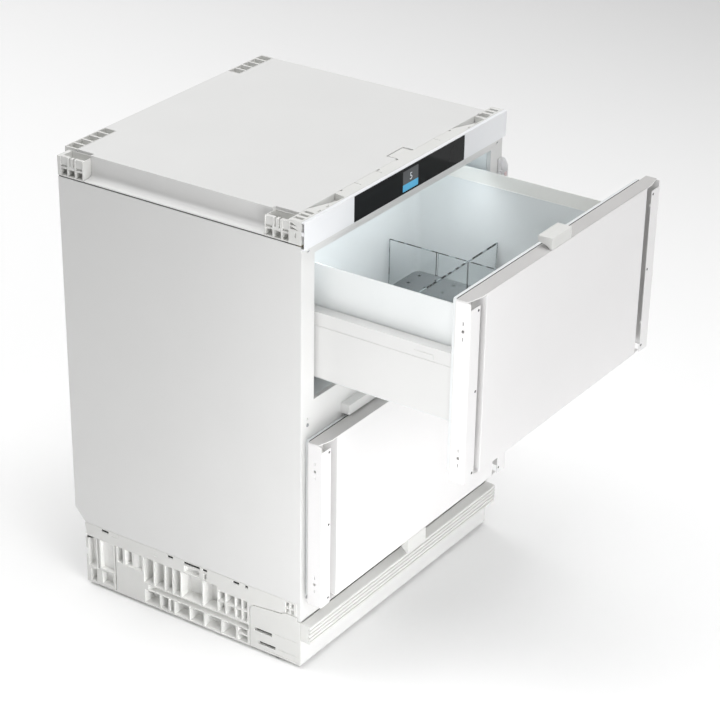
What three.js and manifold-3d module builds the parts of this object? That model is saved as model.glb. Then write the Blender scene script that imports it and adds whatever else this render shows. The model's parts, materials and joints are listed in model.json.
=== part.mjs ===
// Undercounter drawer refrigerator for a 600 mm kitchen niche: two full-extension drawers, a touch
// panel in the head strip and a compressor bay in the moulded base.
// Millimetres, +Z up. The drawer fronts face -Y and the left side faces -X.
// Every piece is drawn in the cabinet's own frame, whose zero is the underside of the base. The
// group at the end lifts it onto its feet and centres it with the upper drawer part way out.

import * as THREE from 'three';
import { mergeVertices } from 'three/addons/utils/BufferGeometryUtils.js';
import Module from 'manifold-3d';

const wasm = await Module();
wasm.setup();

// ---- Driving dimensions ----------------------------------------------------------------------

const GAP = 0.3; // clearance between pieces that touch
const OVER = 1; // how far a cutting tool runs past the face that it opens

// Cabinet
const HALF_WIDTH = 298.5;
const SHEET = 1.2;
const FRONT_Y = -228.6;
const REAR_Y = 264;
const TOP_REAR_Y = 272;
const SIDE_BOTTOM = 122;
const SIDE_TOP = 778.4;
const HEAD_BOTTOM = 780.3; // the head mouldings stand a shadow gap above the side panels
const BODY_TOP = 820;
const FOOT_DROP = 6;

// Cold compartments
const CAVITY_HALF = 262;
const CAVITY_REAR_Y = 196;
const LINER = 1.5;
const UPPER_CAVITY = [499, 757];
const DRAWER_PITCH = 329;
const LOWER_CAVITY = [UPPER_CAVITY[0] - DRAWER_PITCH, UPPER_CAVITY[1] - DRAWER_PITCH];
const STEP_REAR_Y = 60;
const STEP_TOP = 222;

// Head mouldings
const COVER_HALF = 277;
const COVER_FRONT_Y = -204;
const LEG_Y = [-158.5, 209.6]; // inner ends of the front and rear corner legs
// The left legs stand almost up to the cover. The right ones stay low beside it, out of sight.
const LEFT_LEG = { edge: 268, top: 815 };
const RIGHT_LEG = { edge: COVER_HALF, top: 800 };
const LADDER_LENGTH = 101;
const LADDER_Y = 245;
const TONGUE_X = [4, 54];
const TONGUE_Y = -183;

// Head strip
const FASCIA_FRONT_Y = -235.1;
const FASCIA_BOTTOM = 773.7;
const FRAME_TOP = FASCIA_BOTTOM - GAP;
const FRAME_BOTTOM = 88;
const FRAME_DEPTH = 8;
const GLASS_HALF = 163;
const GLASS_Z = [772.5, 818];

// Drawers, drawn closed. The upper one rests pulled out by UPPER_OPEN.
const DOOR_FRONT_Y = -267.8;
const UPPER_OPEN = 268;
const DOOR_Z = [461.4, 766.8];
const DOOR_HALF = 295;
const PANEL_HALF = 250.6;
const PANEL_DEPTH = 26.8;
const PLATE_DEPTH = 2;
const FLANGE = 1.8;
const RAIL_STRIP = 268.5; // inner edge of the mount rails' front strips
const GASKET_HALF = 285;
const BIN_TOP_HALF = 240;
const BIN_FLOOR_HALF = 222;
const BIN_Z = [514, 728];
const BIN_WALL = 2.5;
const UPPER_BIN_REAR_Y = 180;
const LOWER_BIN_REAR_Y = 50;
const BIN_REAR_DRAFT = 20;
const SKIRT_FACE = 256;
const SKIRT_Z = [537, 652];
const SEAM_Z = 629;
const DIVIDER_X = 131;
const DIVIDER_Y = -2;
const DIVIDER_TOP = 608;
const DIVIDER = 3;
const MAT = 3.5;

// Runners
const UPPER_RUNNER_Y = [-215, 190];
const LOWER_RUNNER_Y = [-215, 54];

// Base
const BASE_REAR_Y = 243;
const BASE_WALL = 30;
const BASE_FLOOR = 4;
const BAND_BOTTOM = 96;
const PLINTH_TOP = 49.5;
const LOUVRE_FRONT_Y = -248.3;
const LOUVRE_Z = [50.2, 86.6];
const COVER_REAR_Y = -123;
const COVER_SHEET = 3;
const COVER_BOTTOM = 0.5;
const COVER_SLOTS = [[[-169, -132], [36.5, 42.5]], [[-176, -140], [12, 18]]]; // each as [y, z] spans
const BAY_FRONT_Y = 66;
const BAY_TOP = 205;

// ---- Solids ----------------------------------------------------------------------------------

const X_AXIS = new THREE.Vector3(1, 0, 0);
const Y_AXIS = new THREE.Vector3(0, 1, 0);
const Z_AXIS = new THREE.Vector3(0, 0, 1);

// A box between two limits on each axis.
function block([x0, x1], [y0, y1], [z0, z1]) {
  const box = new THREE.BoxGeometry(x1 - x0, y1 - y0, z1 - z0);
  return box.translate((x0 + x1) / 2, (y0 + y1) / 2, (z0 + z1) / 2);
}

function outline(points) {
  const shape = new THREE.Shape();
  points.forEach(([u, v], i) => (i ? shape.lineTo(u, v) : shape.moveTo(u, v)));
  shape.closePath();
  return shape;
}

function roundedOutline([u0, u1], [v0, v1], radius) {
  const shape = new THREE.Shape();
  shape.moveTo(u0 + radius, v0);
  shape.lineTo(u1 - radius, v0);
  shape.absarc(u1 - radius, v0 + radius, radius, -Math.PI / 2, 0);
  shape.lineTo(u1, v1 - radius);
  shape.absarc(u1 - radius, v1 - radius, radius, 0, Math.PI / 2);
  shape.lineTo(u0 + radius, v1);
  shape.absarc(u0 + radius, v1 - radius, radius, Math.PI / 2, Math.PI);
  shape.lineTo(u0, v0 + radius);
  shape.absarc(u0 + radius, v0 + radius, radius, Math.PI, 1.5 * Math.PI);
  return shape;
}

function pull(shape, length, curveSegments) {
  return new THREE.ExtrudeGeometry(shape, { depth: length, bevelEnabled: false, curveSegments });
}

// A section drawn in (y, z) and pulled along X.
function alongX(shape, [x0, x1], curveSegments = 6) {
  const basis = new THREE.Matrix4().makeBasis(Y_AXIS, Z_AXIS, X_AXIS);
  return pull(shape, x1 - x0, curveSegments).applyMatrix4(basis).translate(x0, 0, 0);
}

// A section drawn in (x, z) and pulled along Y.
function alongY(shape, [y0, y1], curveSegments = 6) {
  const basis = new THREE.Matrix4().makeBasis(X_AXIS, Z_AXIS, Y_AXIS.clone().negate());
  return pull(shape, y1 - y0, curveSegments).applyMatrix4(basis).translate(0, y1, 0);
}

// A section drawn in (x, y) and pulled along Z.
function alongZ(shape, [z0, z1], curveSegments = 6) {
  return pull(shape, z1 - z0, curveSegments).translate(0, 0, z0);
}

// A closed profile of [radius, height] points turned round the Z axis.
function turned(profile, segments) {
  const points = profile.map(([r, z]) => new THREE.Vector2(r, z));
  return new THREE.LatheGeometry(points, segments).rotateX(Math.PI / 2);
}

function rod([x, y], radius, [z0, z1], segments = 12) {
  const cylinder = new THREE.CylinderGeometry(radius, radius, z1 - z0, segments);
  return cylinder.rotateX(Math.PI / 2).translate(x, y, (z0 + z1) / 2);
}

// Shared vertices merged, and the flat triangles that a pole leaves dropped.
function welded(geometry) {
  const bare = geometry.clone();
  bare.deleteAttribute('normal');
  bare.deleteAttribute('uv');
  const merged = mergeVertices(bare, 1e-4);
  const kept = [];
  const corners = merged.index.array;
  for (let i = 0; i < corners.length; i += 3) {
    const [a, b, c] = corners.slice(i, i + 3);
    if (a !== b && b !== c && c !== a) kept.push(a, b, c);
  }
  merged.setIndex(kept);
  return merged;
}

function toSolid(geometry) {
  const { attributes, index } = welded(geometry);
  const vertProperties = new Float32Array(attributes.position.array);
  const triVerts = new Uint32Array(index.array);
  return new wasm.Manifold(new wasm.Mesh({ numProp: 3, vertProperties, triVerts }));
}

function toGeometry(solid) {
  const { vertProperties, triVerts } = solid.getMesh();
  const geometry = new THREE.BufferGeometry();
  geometry.setAttribute('position', new THREE.BufferAttribute(new Float32Array(vertProperties), 3));
  geometry.setIndex(new THREE.BufferAttribute(new Uint32Array(triVerts), 1));
  return geometry;
}

function joined(...pieces) {
  return toGeometry(pieces.map(toSolid).reduce((whole, piece) => whole.add(piece)));
}

function cut(geometry, ...tools) {
  return toGeometry(tools.map(toSolid).reduce((whole, tool) => whole.subtract(tool), toSolid(geometry)));
}

// The same piece for the other side of the cabinet.
function mirrored(geometry) {
  const twin = welded(geometry).scale(-1, 1, 1);
  const corners = Array.from(twin.index.array);
  const turnedBack = corners.map((corner, i) => corners[i - (i % 3) + [0, 2, 1][i % 3]]);
  twin.setIndex(turnedBack);
  return twin;
}

function bothSides(pieces) {
  return pieces.flatMap((piece) => [piece, mirrored(piece)]);
}

// A rounded block whose plan shrinks from the top rectangle to the bottom one.
function tapered(top, bottom, [z0, z1], radius) {
  const solid = alongZ(roundedOutline(top.x, top.y, radius), [z0, z1], 4);
  const points = solid.attributes.position;
  const map = (value, from, to) => to[0] + ((value - from[0]) / (from[1] - from[0])) * (to[1] - to[0]);
  for (let i = 0; i < points.count; i += 1) {
    const part = (points.getZ(i) - z0) / (z1 - z0);
    const x = points.getX(i);
    const y = points.getY(i);
    points.setX(i, THREE.MathUtils.lerp(map(x, top.x, bottom.x), x, part));
    points.setY(i, THREE.MathUtils.lerp(map(y, top.y, bottom.y), y, part));
  }
  return solid;
}

// ---- Cabinet shell ---------------------------------------------------------------------------

// Folded steel side: a flat sheet with a cut-off lower rear corner and a short fold at its rear.
function sidePanel() {
  const chamfer = [22, 26];
  const fold = 14;
  const profile = outline([
    [FRONT_Y, SIDE_BOTTOM + GAP],
    [REAR_Y - chamfer[0], SIDE_BOTTOM + GAP],
    [REAR_Y, SIDE_BOTTOM + chamfer[1]],
    [REAR_Y, SIDE_TOP],
    [FRONT_Y, SIDE_TOP],
  ]);
  const sheet = alongX(profile, [-HALF_WIDTH, -HALF_WIDTH + SHEET]);
  const hem = block(
    [-HALF_WIDTH, -HALF_WIDTH + fold], [REAR_Y - SHEET, REAR_Y], [SIDE_BOTTOM + chamfer[1], SIDE_TOP]);
  return joined(sheet, hem);
}

function backPanel() {
  const half = HALF_WIDTH - SHEET - GAP;
  const rear = REAR_Y - SHEET - GAP;
  const sheet = block([-half, half], [rear - SHEET, rear], [BAY_TOP + 3, SIDE_TOP]);
  const ribs = [-150, 0, 150].map((x) =>
    block([x - 12, x + 12], [rear - GAP, rear + SHEET], [BAY_TOP + 40, SIDE_TOP - 40]));
  return joined(sheet, ...ribs);
}

// Foamed insulation round the two compartments, with the compressor bay cut from its lower rear.
function foamBody() {
  const half = HALF_WIDTH - SHEET - GAP;
  const front = FRONT_Y + FRAME_DEPTH + GAP;
  const rear = REAR_Y - 2 * SHEET - 2 * GAP;
  const core = block([-half, half], [front, rear], [SIDE_BOTTOM + 2 * GAP, SIDE_TOP - GAP]);
  const crownZ = [SIDE_TOP - 10, BODY_TOP - 2.5];
  const crown = block(grow([-COVER_HALF, COVER_HALF], -2.5), grow(LEG_Y, -2.5), crownZ);
  const crownEnds = block(
    grow([-LEFT_LEG.edge, LEFT_LEG.edge], -2.5), grow([COVER_FRONT_Y, LADDER_Y], -2.5), crownZ);
  const tongueBay = block(
    grow(TONGUE_X, 4), [COVER_FRONT_Y - OVER, TONGUE_Y + 4], [BODY_TOP - 14, BODY_TOP]);
  const skin = LINER + GAP;
  const opening = [front - OVER, CAVITY_REAR_Y + skin];
  const upper = block([-CAVITY_HALF - skin, CAVITY_HALF + skin], opening, grow(UPPER_CAVITY, skin));
  const lowerTop = block(
    [-CAVITY_HALF - skin, CAVITY_HALF + skin], opening, [STEP_TOP - skin, LOWER_CAVITY[1] + skin]);
  const lowerFloor = block(
    [-CAVITY_HALF - skin, CAVITY_HALF + skin], [front - OVER, STEP_REAR_Y + skin],
    [LOWER_CAVITY[0] - skin, STEP_TOP]);
  const bay = block([-half - OVER, half + OVER], [BAY_FRONT_Y, rear + OVER], [SIDE_BOTTOM - OVER, BAY_TOP]);
  const coldPlate = block([-205, 205], [CAVITY_REAR_Y, CAVITY_REAR_Y + 12], [515, 745]);
  return cut(joined(core, crown, crownEnds), upper, lowerTop, lowerFloor, bay, coldPlate, tongueBay);
}

function grow([low, high], by) {
  return [low - by, high + by];
}

function upperLiner() {
  const front = FRONT_Y + FRAME_DEPTH + GAP;
  const shell = block(
    grow([-CAVITY_HALF, CAVITY_HALF], LINER), [front, CAVITY_REAR_Y + LINER], grow(UPPER_CAVITY, LINER));
  const cavity = block([-CAVITY_HALF, CAVITY_HALF], [front - OVER, CAVITY_REAR_Y], UPPER_CAVITY);
  return cut(shell, cavity);
}

// The lower compartment steps up at its rear, over the compressor bay.
function lowerLiner() {
  const front = FRONT_Y + FRAME_DEPTH + GAP;
  const section = (by, frontY) => outline([
    [frontY, LOWER_CAVITY[0] - by],
    [STEP_REAR_Y + by, LOWER_CAVITY[0] - by],
    [STEP_REAR_Y + by, STEP_TOP - by],
    [CAVITY_REAR_Y + by, STEP_TOP - by],
    [CAVITY_REAR_Y + by, LOWER_CAVITY[1] + by],
    [frontY, LOWER_CAVITY[1] + by],
  ]);
  const shell = alongX(section(LINER, front), grow([-CAVITY_HALF, CAVITY_HALF], LINER));
  const cavity = alongX(section(0, front - OVER), [-CAVITY_HALF, CAVITY_HALF]);
  return cut(shell, cavity);
}

// Raised top plate: a shallow inverted tray with a rounded ledge out to each side. Its corners are cut
// out for the mouldings, and its front edge has a pan for the tongue of the front moulding.
function topCover() {
  const wall = 2;
  const ledge = 2.7;
  const z = [HEAD_BOTTOM, BODY_TOP];
  const above = [HEAD_BOTTOM - OVER, BODY_TOP + OVER];
  const tray = block([-COVER_HALF, COVER_HALF], [COVER_FRONT_Y, TOP_REAR_Y], z);
  const cornerCuts = (edge) => [
    block([edge, COVER_HALF + OVER], [COVER_FRONT_Y - OVER, LEG_Y[0]], above),
    block([edge, COVER_HALF + OVER], [LEG_Y[1], TOP_REAR_Y + OVER], above),
    block([edge - LADDER_LENGTH, COVER_HALF + OVER], [LADDER_Y, TOP_REAR_Y + OVER], above),
  ];
  const notches = [...cornerCuts(LEFT_LEG.edge).map(mirrored), ...cornerCuts(RIGHT_LEG.edge)];
  const ladderEnd = LEFT_LEG.edge - LADDER_LENGTH;
  const under = [HEAD_BOTTOM - OVER, BODY_TOP - wall];
  const inside = (half) => grow([-half, half], -wall);
  const hollows = [
    block(inside(COVER_HALF), grow(LEG_Y, -wall), under),
    block(inside(LEFT_LEG.edge), grow([COVER_FRONT_Y, LADDER_Y], -wall), under),
    block(inside(ladderEnd), [LADDER_Y - wall - OVER, TOP_REAR_Y - wall], under),
  ];
  const fillet = alongY(
    outline([
      [-HALF_WIDTH, z[0]], [-HALF_WIDTH, z[0] + ledge - 0.8], [-HALF_WIDTH + 0.8, z[0] + ledge],
      [-286, z[0] + ledge], [-281.5, z[0] + ledge + 1.2], [-278.5, z[0] + ledge + 4],
      [-COVER_HALF, z[0] + ledge + 8.5], [-COVER_HALF + 1, z[0] + ledge + 8.5], [-COVER_HALF + 1, z[0]],
    ]),
    grow(LEG_Y, -GAP));
  const pan = block(grow(TONGUE_X, wall), [COVER_FRONT_Y, TONGUE_Y + wall], [BODY_TOP - 12, BODY_TOP - 1]);
  const panOpening = block(TONGUE_X, [COVER_FRONT_Y - OVER, TONGUE_Y], [BODY_TOP - 10, BODY_TOP + OVER]);
  return cut(joined(cut(tray, ...notches, ...hollows), pan, ...bothSides([fillet])), panOpening);
}

// Corner leg from its inner end towards the corner: three dark pockets below, and a wall above them
// that stands before a deep groove, with two slots through its middle.
function cornerLeg(inner, outer, { edge, top }) {
  const towards = Math.sign(outer - inner);
  const span = (from, to) => [inner + towards * from, inner + towards * to].sort((a, b) => a - b);
  const face = [-HALF_WIDTH - OVER, -HALF_WIDTH];
  const endWall = 1.6;
  const pitch = 16.3;
  const width = 13.4;
  const shelf = 799.5;
  const upper = [shelf, top + OVER];
  const leg = block(
    [-HALF_WIDTH, -edge - GAP], span(0, Math.abs(outer - inner)), [HEAD_BOTTOM, top]);
  const groove = block(
    [-HALF_WIDTH + 7.5, -edge - 2], span(endWall, 3 * pitch + endWall - 4), [shelf - 3, upper[1]]);
  const pocket = (column, depth, z) => {
    const from = endWall + column * pitch;
    return block([face[0], face[1] + depth], span(from, from + width), z);
  };
  const lower = [0, 1, 2].map((column) => pocket(column, 14, [782.5, 794.5]));
  const plates = [0, 2].flatMap((column) => [
    pocket(column, 1.4, upper),
    pocket(column, 3.5, [shelf - 2.4, shelf + OVER]),
  ]);
  const slots = [0.5, 8.5].map((shift) =>
    block([face[0], face[1] + 8.5], span(endWall + pitch + shift, endWall + pitch + shift + 3), upper));
  return cut(leg, groove, ...lower, ...plates, ...slots);
}

// Rear corner moulding: one leg along the side, and one along the rear with a ladder of top pockets.
function rearCornerBlock(leg) {
  const sideLeg = cornerLeg(LEG_Y[1], REAR_Y, leg);
  const rearLeg = block(
    [-leg.edge - 1, -leg.edge + LADDER_LENGTH - GAP], [LADDER_Y + GAP, TOP_REAR_Y],
    [HEAD_BOTTOM, BODY_TOP]);
  const rungs = 5;
  const pitch = 20.3;
  const rib = 4;
  const ladder = [];
  for (let rung = 0; rung < rungs; rung += 1) {
    const right = -leg.edge + 18.5 + rung * pitch;
    const left = Math.max(right - pitch + rib, -leg.edge + 1.5);
    ladder.push(block(
      [left, right], [LADDER_Y + 1.5, TOP_REAR_Y - 2], [BODY_TOP - 16, BODY_TOP + OVER]));
  }
  return cut(joined(sideLeg, rearLeg), ...ladder);
}

// Long recess in the top of the front moulding: it widens from its left end to its right one.
function longRecess(left, right) {
  const rear = COVER_FRONT_Y + OVER;
  const plan = outline([[left, rear], [right, rear], [right - 4, FRONT_Y + 2.6], [right - 24, FRONT_Y + 4]]);
  return alongZ(plan, [BODY_TOP - 12, BODY_TOP + OVER]);
}

// Moulding behind the fascia: a pocketed leg at each end, recesses and ribs along its top, and a
// tongue that reaches back into the cover.
function frontTopMoulding() {
  const rear = COVER_FRONT_Y - GAP;
  const front = FRONT_Y + GAP;
  const bar = block([-HALF_WIDTH, HALF_WIDTH], [front, rear], [HEAD_BOTTOM, BODY_TOP]);
  const tongue = block(
    [TONGUE_X[0] + 1.5, TONGUE_X[1] - 5], [rear - OVER, TONGUE_Y - 2.5], [BODY_TOP - 9, BODY_TOP]);
  const legs = [
    cornerLeg(LEG_Y[0], rear - OVER, LEFT_LEG),
    mirrored(cornerLeg(LEG_Y[0], rear - OVER, RIGHT_LEG)),
  ];
  const topSlot = (x, y, depth) => block(x, y, [BODY_TOP - depth, BODY_TOP + OVER]);
  const endRibs = [-289, -276, -263].map((x) => topSlot([x, x + 6.5], [-224, -207], 8));
  const wedges = [
    [[-207, 811.5], [-207, 816], [-220, 811.5]],
    [[-207, 804.5], [-207, 809.5], [-223, 804.5]],
  ];
  const sideCuts = [
    ...endRibs,
    ...wedges.map((corners) => alongX(outline(corners), [-HALF_WIDTH - OVER, -HALF_WIDTH + 8])),
    block([-HALF_WIDTH - OVER, -HALF_WIDTH + 4], [-218, -216], [791.5, 799]),
  ];
  const recesses = [
    longRecess(-254, -173),
    longRecess(166, 243.5),
    topSlot([246.5, 256], [front + 3, rear + OVER], 12),
  ];
  const ticks = [-249, -227, 188, 210].map((x) => topSlot([x, x + 8], [-226, -223.6], 3));
  const ribLines = [-120.5, -60.5, 113].map((x) => topSlot([x, x + 1.2], [-217.5, rear + OVER], 2));
  const notches = [-161, -56, -2, 158].map((x) => topSlot([x, x + 6], [rear - 3, rear + OVER], 5));
  const whole = joined(bar, tongue, ...legs);
  return cut(whole, ...bothSides(sideCuts), ...recesses, ...ticks, ...ribLines, ...notches);
}

// Steel face frame that the drawer gaskets close on. Its middle rail carries a square bar.
function frontFrame() {
  const half = HALF_WIDTH - SHEET - GAP;
  const rear = FRONT_Y + FRAME_DEPTH;
  const plate = block([-half, half], [FRONT_Y, rear], [FRAME_BOTTOM, FRAME_TOP]);
  const through = [FRONT_Y - OVER, rear + OVER];
  const windows = [UPPER_CAVITY, LOWER_CAVITY].map((cavity) =>
    block([-CAVITY_HALF, CAVITY_HALF], through, cavity));
  const screwSeats = [756 + 9, 470, 150].flatMap((z) =>
    bothSides([rod([-280, 0], 2.5, [0, 3], 8).rotateX(Math.PI / 2).translate(0, FRONT_Y + 2, z)]));
  const bar = block([-185, 185], [FRONT_Y - 17, FRONT_Y + 1], [441, 459]);
  return joined(cut(plate, ...windows, ...screwSeats), bar);
}

// ---- Head strip ------------------------------------------------------------------------------

function controlFascia() {
  const plate = block([-HALF_WIDTH, HALF_WIDTH], [FASCIA_FRONT_Y, FRONT_Y], [FASCIA_BOTTOM, BODY_TOP]);
  const glassSeat = block(
    [-GLASS_HALF - GAP, GLASS_HALF + GAP], [FASCIA_FRONT_Y - OVER, FASCIA_FRONT_Y + 4 + GAP],
    [FASCIA_BOTTOM - OVER, GLASS_Z[1] + GAP]);
  const moduleWindow = block([-32, 32], [FASCIA_FRONT_Y, FRONT_Y + OVER], [776, 810]);
  const endSlots = [[775.5, 797.5], [803.5, 818.2]].map((z) =>
    block([-HALF_WIDTH - OVER, -HALF_WIDTH + 12], [FASCIA_FRONT_Y + 1.6, FRONT_Y + OVER], z));
  return cut(plate, glassSeat, moduleWindow, ...bothSides(endSlots));
}

function touchGlass() {
  const face = roundedOutline([-GLASS_HALF, GLASS_HALF], [FASCIA_BOTTOM, GLASS_Z[1]], 2.5);
  return alongY(face, [FASCIA_FRONT_Y, FASCIA_FRONT_Y + 4], 3);
}

function displayModule() {
  const board = block([-31, 31], [FASCIA_FRONT_Y + 4.8, FASCIA_FRONT_Y + 6.2], [777, 809]);
  const screen = block([-26, 26], [FASCIA_FRONT_Y + 4 + GAP, FASCIA_FRONT_Y + 5], [778.5, 807.5]);
  return joined(board, screen);
}

// Clear strip under the ceiling of the upper compartment, with a sloping front face.
function lightCover() {
  const ceiling = UPPER_CAVITY[1] - GAP;
  const section = outline([[-218, ceiling], [-214, ceiling - 8], [-196, ceiling - 8], [-190, ceiling]]);
  return alongX(section, [-236, 236]);
}

// Angle at the right of the frame, which fastens the cabinet to its neighbour, with its lock clip.
function fixingBracket() {
  const rear = FRONT_Y - GAP;
  const foot = block([286, 298.2], [rear - 2, rear], [690, 734]);
  const tab = alongX(
    outline([[-243, 694], [-243, 722], [-236, 734], [rear, 734], [rear, 690], [-239, 690]]),
    [296.4, 298.2]);
  const clip = block([287, 293], [FRONT_Y - 6, FRONT_Y - 1], [700, 712]);
  return joined(foot, tab, clip);
}

// ---- Drawers ---------------------------------------------------------------------------------

// Folded skin of a front: a tray open at the rear. Its head flange runs out over the mount rails, and
// its foot flange fits between them.
function doorPanel(z) {
  const rear = DOOR_FRONT_Y + PANEL_DEPTH;
  const edge = 1.5;
  const slab = alongY(roundedOutline([-PANEL_HALF, PANEL_HALF], z, edge), [DOOR_FRONT_Y, rear], 2);
  const slant = { x: 30, y: 6.6 };
  const head = alongZ(outline([
    [DOOR_HALF, rear],
    [-DOOR_HALF, rear],
    [-DOOR_HALF, DOOR_FRONT_Y + slant.y],
    [-DOOR_HALF + slant.x, DOOR_FRONT_Y],
    [DOOR_HALF - slant.x, DOOR_FRONT_Y],
    [DOOR_HALF, DOOR_FRONT_Y + slant.y],
  ]), [z[1] - FLANGE, z[1]], 0);
  const foot = block(
    grow([-RAIL_STRIP, RAIL_STRIP], -2 * GAP), [DOOR_FRONT_Y + 2, rear], [z[0], z[0] + FLANGE]);
  const hollow = block(
    [-PANEL_HALF + SHEET, PANEL_HALF - SHEET], [DOOR_FRONT_Y + SHEET, rear + OVER], grow(z, -SHEET));
  return cut(joined(slab, head, foot), hollow);
}

// Inner plate of a front, with the insulating core that fills the skin.
function doorPlate(z) {
  const front = DOOR_FRONT_Y + PANEL_DEPTH + GAP;
  const half = DOOR_HALF - SHEET - 2 * GAP;
  const inset = SHEET + GAP;
  const plate = alongY(roundedOutline([-half, half], grow(z, -2), 4), [front, front + PLATE_DEPTH], 3);
  const core = block(
    [-PANEL_HALF + inset, PANEL_HALF - inset], [DOOR_FRONT_Y + inset, front + OVER], grow(z, -inset));
  return joined(plate, core);
}

// Magnetic seal: a broad bulb on a narrower foot, mitred round the door.
function doorGasket(z) {
  const foot = DOOR_FRONT_Y + PANEL_DEPTH + PLATE_DEPTH + 2 * GAP;
  const lip = FRONT_Y - 2 * GAP;
  const ring = (inset, width, y) => {
    const outer = [-GASKET_HALF + inset, GASKET_HALF - inset];
    const height = [z[0] + 4 + inset, z[1] - 4 - inset];
    const solid = alongY(roundedOutline(outer, height, 4), y, 3);
    return cut(solid, block(grow(outer, -width), grow(y, OVER), grow(height, -width)));
  };
  return joined(ring(2, 7, [foot, foot + 4]), ring(0, 12, [foot + 3, lip]));
}

// Thin angle down each side of the door for the furniture front, with screw holes and key slots.
function mountRail(z) {
  const low = z[0] - 3;
  const high = z[1] - FLANGE - GAP;
  const rear = DOOR_FRONT_Y + PANEL_DEPTH;
  const flange = block([-DOOR_HALF, -DOOR_HALF + SHEET], [DOOR_FRONT_Y + 1, rear], [low, high]);
  const stripTop = z[1] - 12.5;
  const strip = block(
    [-DOOR_HALF, -RAIL_STRIP], [DOOR_FRONT_Y, DOOR_FRONT_Y + SHEET + GAP], [low, stripTop]);
  const holes = [low + 11, (low + high) / 2, high - 17].map((height) =>
    rod([-273.4, 0], 2.4, [-3, 3], 8).rotateX(Math.PI / 2).translate(0, DOOR_FRONT_Y, height));
  const slot = (height, [y0, y1], rise) => block(
    [-DOOR_HALF - OVER, -DOOR_HALF + 3], [DOOR_FRONT_Y + y0, DOOR_FRONT_Y + y1],
    grow([height, height], rise));
  const keySlots = [low + 42, high - 48].flatMap((height) => [
    slot(height, [11, 15.5], 2.4),
    slot(height - 13, [12.5, 14], 3),
    slot(height + 13, [12.5, 14], 3),
  ]);
  return cut(joined(flange, strip), ...holes, ...keySlots);
}

// Strap that stands on the head of the upper front and reaches back over it, hollowed underneath.
function headHook(z) {
  const front = DOOR_FRONT_Y;
  const rear = front + 26;
  const foot = z[1] + GAP;
  const section = new THREE.Shape();
  section.moveTo(front, foot);
  section.lineTo(front, foot + 18.7);
  section.lineTo(front + 1, foot + 19.7);
  section.lineTo(rear, foot + 19.7);
  section.lineTo(rear, foot + 9);
  section.quadraticCurveTo(front + 8, foot + 7.5, front + 4, foot);
  section.closePath();
  return alongX(section, [-60, 0]);
}

// Pull tab that hangs from the foot of the lower front, with a slanting underside.
function footTab(z) {
  const section = outline([
    [DOOR_FRONT_Y, z[0] - GAP],
    [DOOR_FRONT_Y, z[0] - 27],
    [DOOR_FRONT_Y + 3, z[0] - 28],
    [DOOR_FRONT_Y + 22, z[0] - 10],
    [DOOR_FRONT_Y + 22, z[0] - GAP],
  ]);
  return alongX(section, [-28.5, 28.5]);
}

// Drafted drawer bin. Its rim stands a little thinner than its wall.
function bin(z, rearY) {
  const front = DOOR_FRONT_Y + PANEL_DEPTH + PLATE_DEPTH + 2 * GAP;
  const radius = 16;
  const planAt = (height, wall) => {
    const part = (height - z[0]) / (z[1] - z[0]);
    const half = THREE.MathUtils.lerp(BIN_FLOOR_HALF, BIN_TOP_HALF, part) - wall;
    return { x: [-half, half], y: [front + wall, rearY - BIN_REAR_DRAFT * (1 - part) - wall] };
  };
  const layer = (wall, [from, to]) =>
    tapered(planAt(to, wall), planAt(from, wall), [from, to], radius - wall);
  const rimWall = BIN_WALL - 0.8;
  const rimBand = 24;
  return cut(
    layer(0, z), layer(BIN_WALL, [z[0] + 3, z[1] + OVER]), layer(rimWall, [z[1] - rimBand, z[1] + OVER]));
}

// Steel side profile, which hangs on the bin wall like an eave and covers the runner.
function sideProfile(z, length) {
  const lift = z - BIN_Z[0];
  const groove = 0.8;
  const section = [
    [-SKIRT_FACE, SKIRT_Z[0]],
    [-SKIRT_FACE, SEAM_Z - groove],
    [-SKIRT_FACE + groove, SEAM_Z - groove],
    [-SKIRT_FACE + groove, SEAM_Z + groove],
    [-SKIRT_FACE, SEAM_Z + groove],
    [-SKIRT_FACE, SKIRT_Z[1]],
    [-234.9, SKIRT_Z[1]],
    [-234.9, 600.3],
    [-250, 600.3],
    [-250, 602.3],
    [-236.5, 602.3],
    [-236.5, SKIRT_Z[1] - 1.6],
    [-SKIRT_FACE + 1.8, SKIRT_Z[1] - 1.6],
    [-SKIRT_FACE + 1.8, SKIRT_Z[0]],
  ];
  const front = DOOR_FRONT_Y + PANEL_DEPTH + PLATE_DEPTH + 2 * GAP;
  const profile = alongY(outline(section.map(([x, height]) => [x, height + lift])), [front, length]);
  const lever = block(
    [-SKIRT_FACE - 1.2, -SKIRT_FACE + OVER], [front + 58, front + 94], [632 + lift, 640 + lift]);
  return joined(profile, lever);
}

// Clear sheet from the rear wall of the bin, slotted where cross sheets drop in, with one dropped in.
function bottleDivider(floor) {
  const slotPitch = 61;
  const half = DIVIDER / 2;
  const middle = (floor + DIVIDER_TOP) / 2;
  const sheet = block([DIVIDER_X - half, DIVIDER_X + half], [-150, 157], [floor, DIVIDER_TOP]);
  const crossSlots = [-1, 0, 1].map((step) => {
    const y = DIVIDER_Y + step * slotPitch;
    const width = [y - half - GAP, y + half + GAP];
    return block([DIVIDER_X - 5, DIVIDER_X + 5], width, [middle, DIVIDER_TOP + OVER]);
  });
  const draft = (BIN_TOP_HALF - BIN_FLOOR_HALF) / (BIN_Z[1] - BIN_Z[0]);
  const reach = (z) => BIN_FLOOR_HALF - BIN_WALL + (z - BIN_Z[0]) * draft - 2 * GAP;
  const cross = alongY(
    outline([
      [-reach(floor), floor], [reach(floor), floor],
      [reach(DIVIDER_TOP), DIVIDER_TOP], [-reach(DIVIDER_TOP), DIVIDER_TOP],
    ]),
    [DIVIDER_Y - half, DIVIDER_Y + half]);
  return joined(cut(sheet, ...crossSlots), cross);
}

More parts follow.
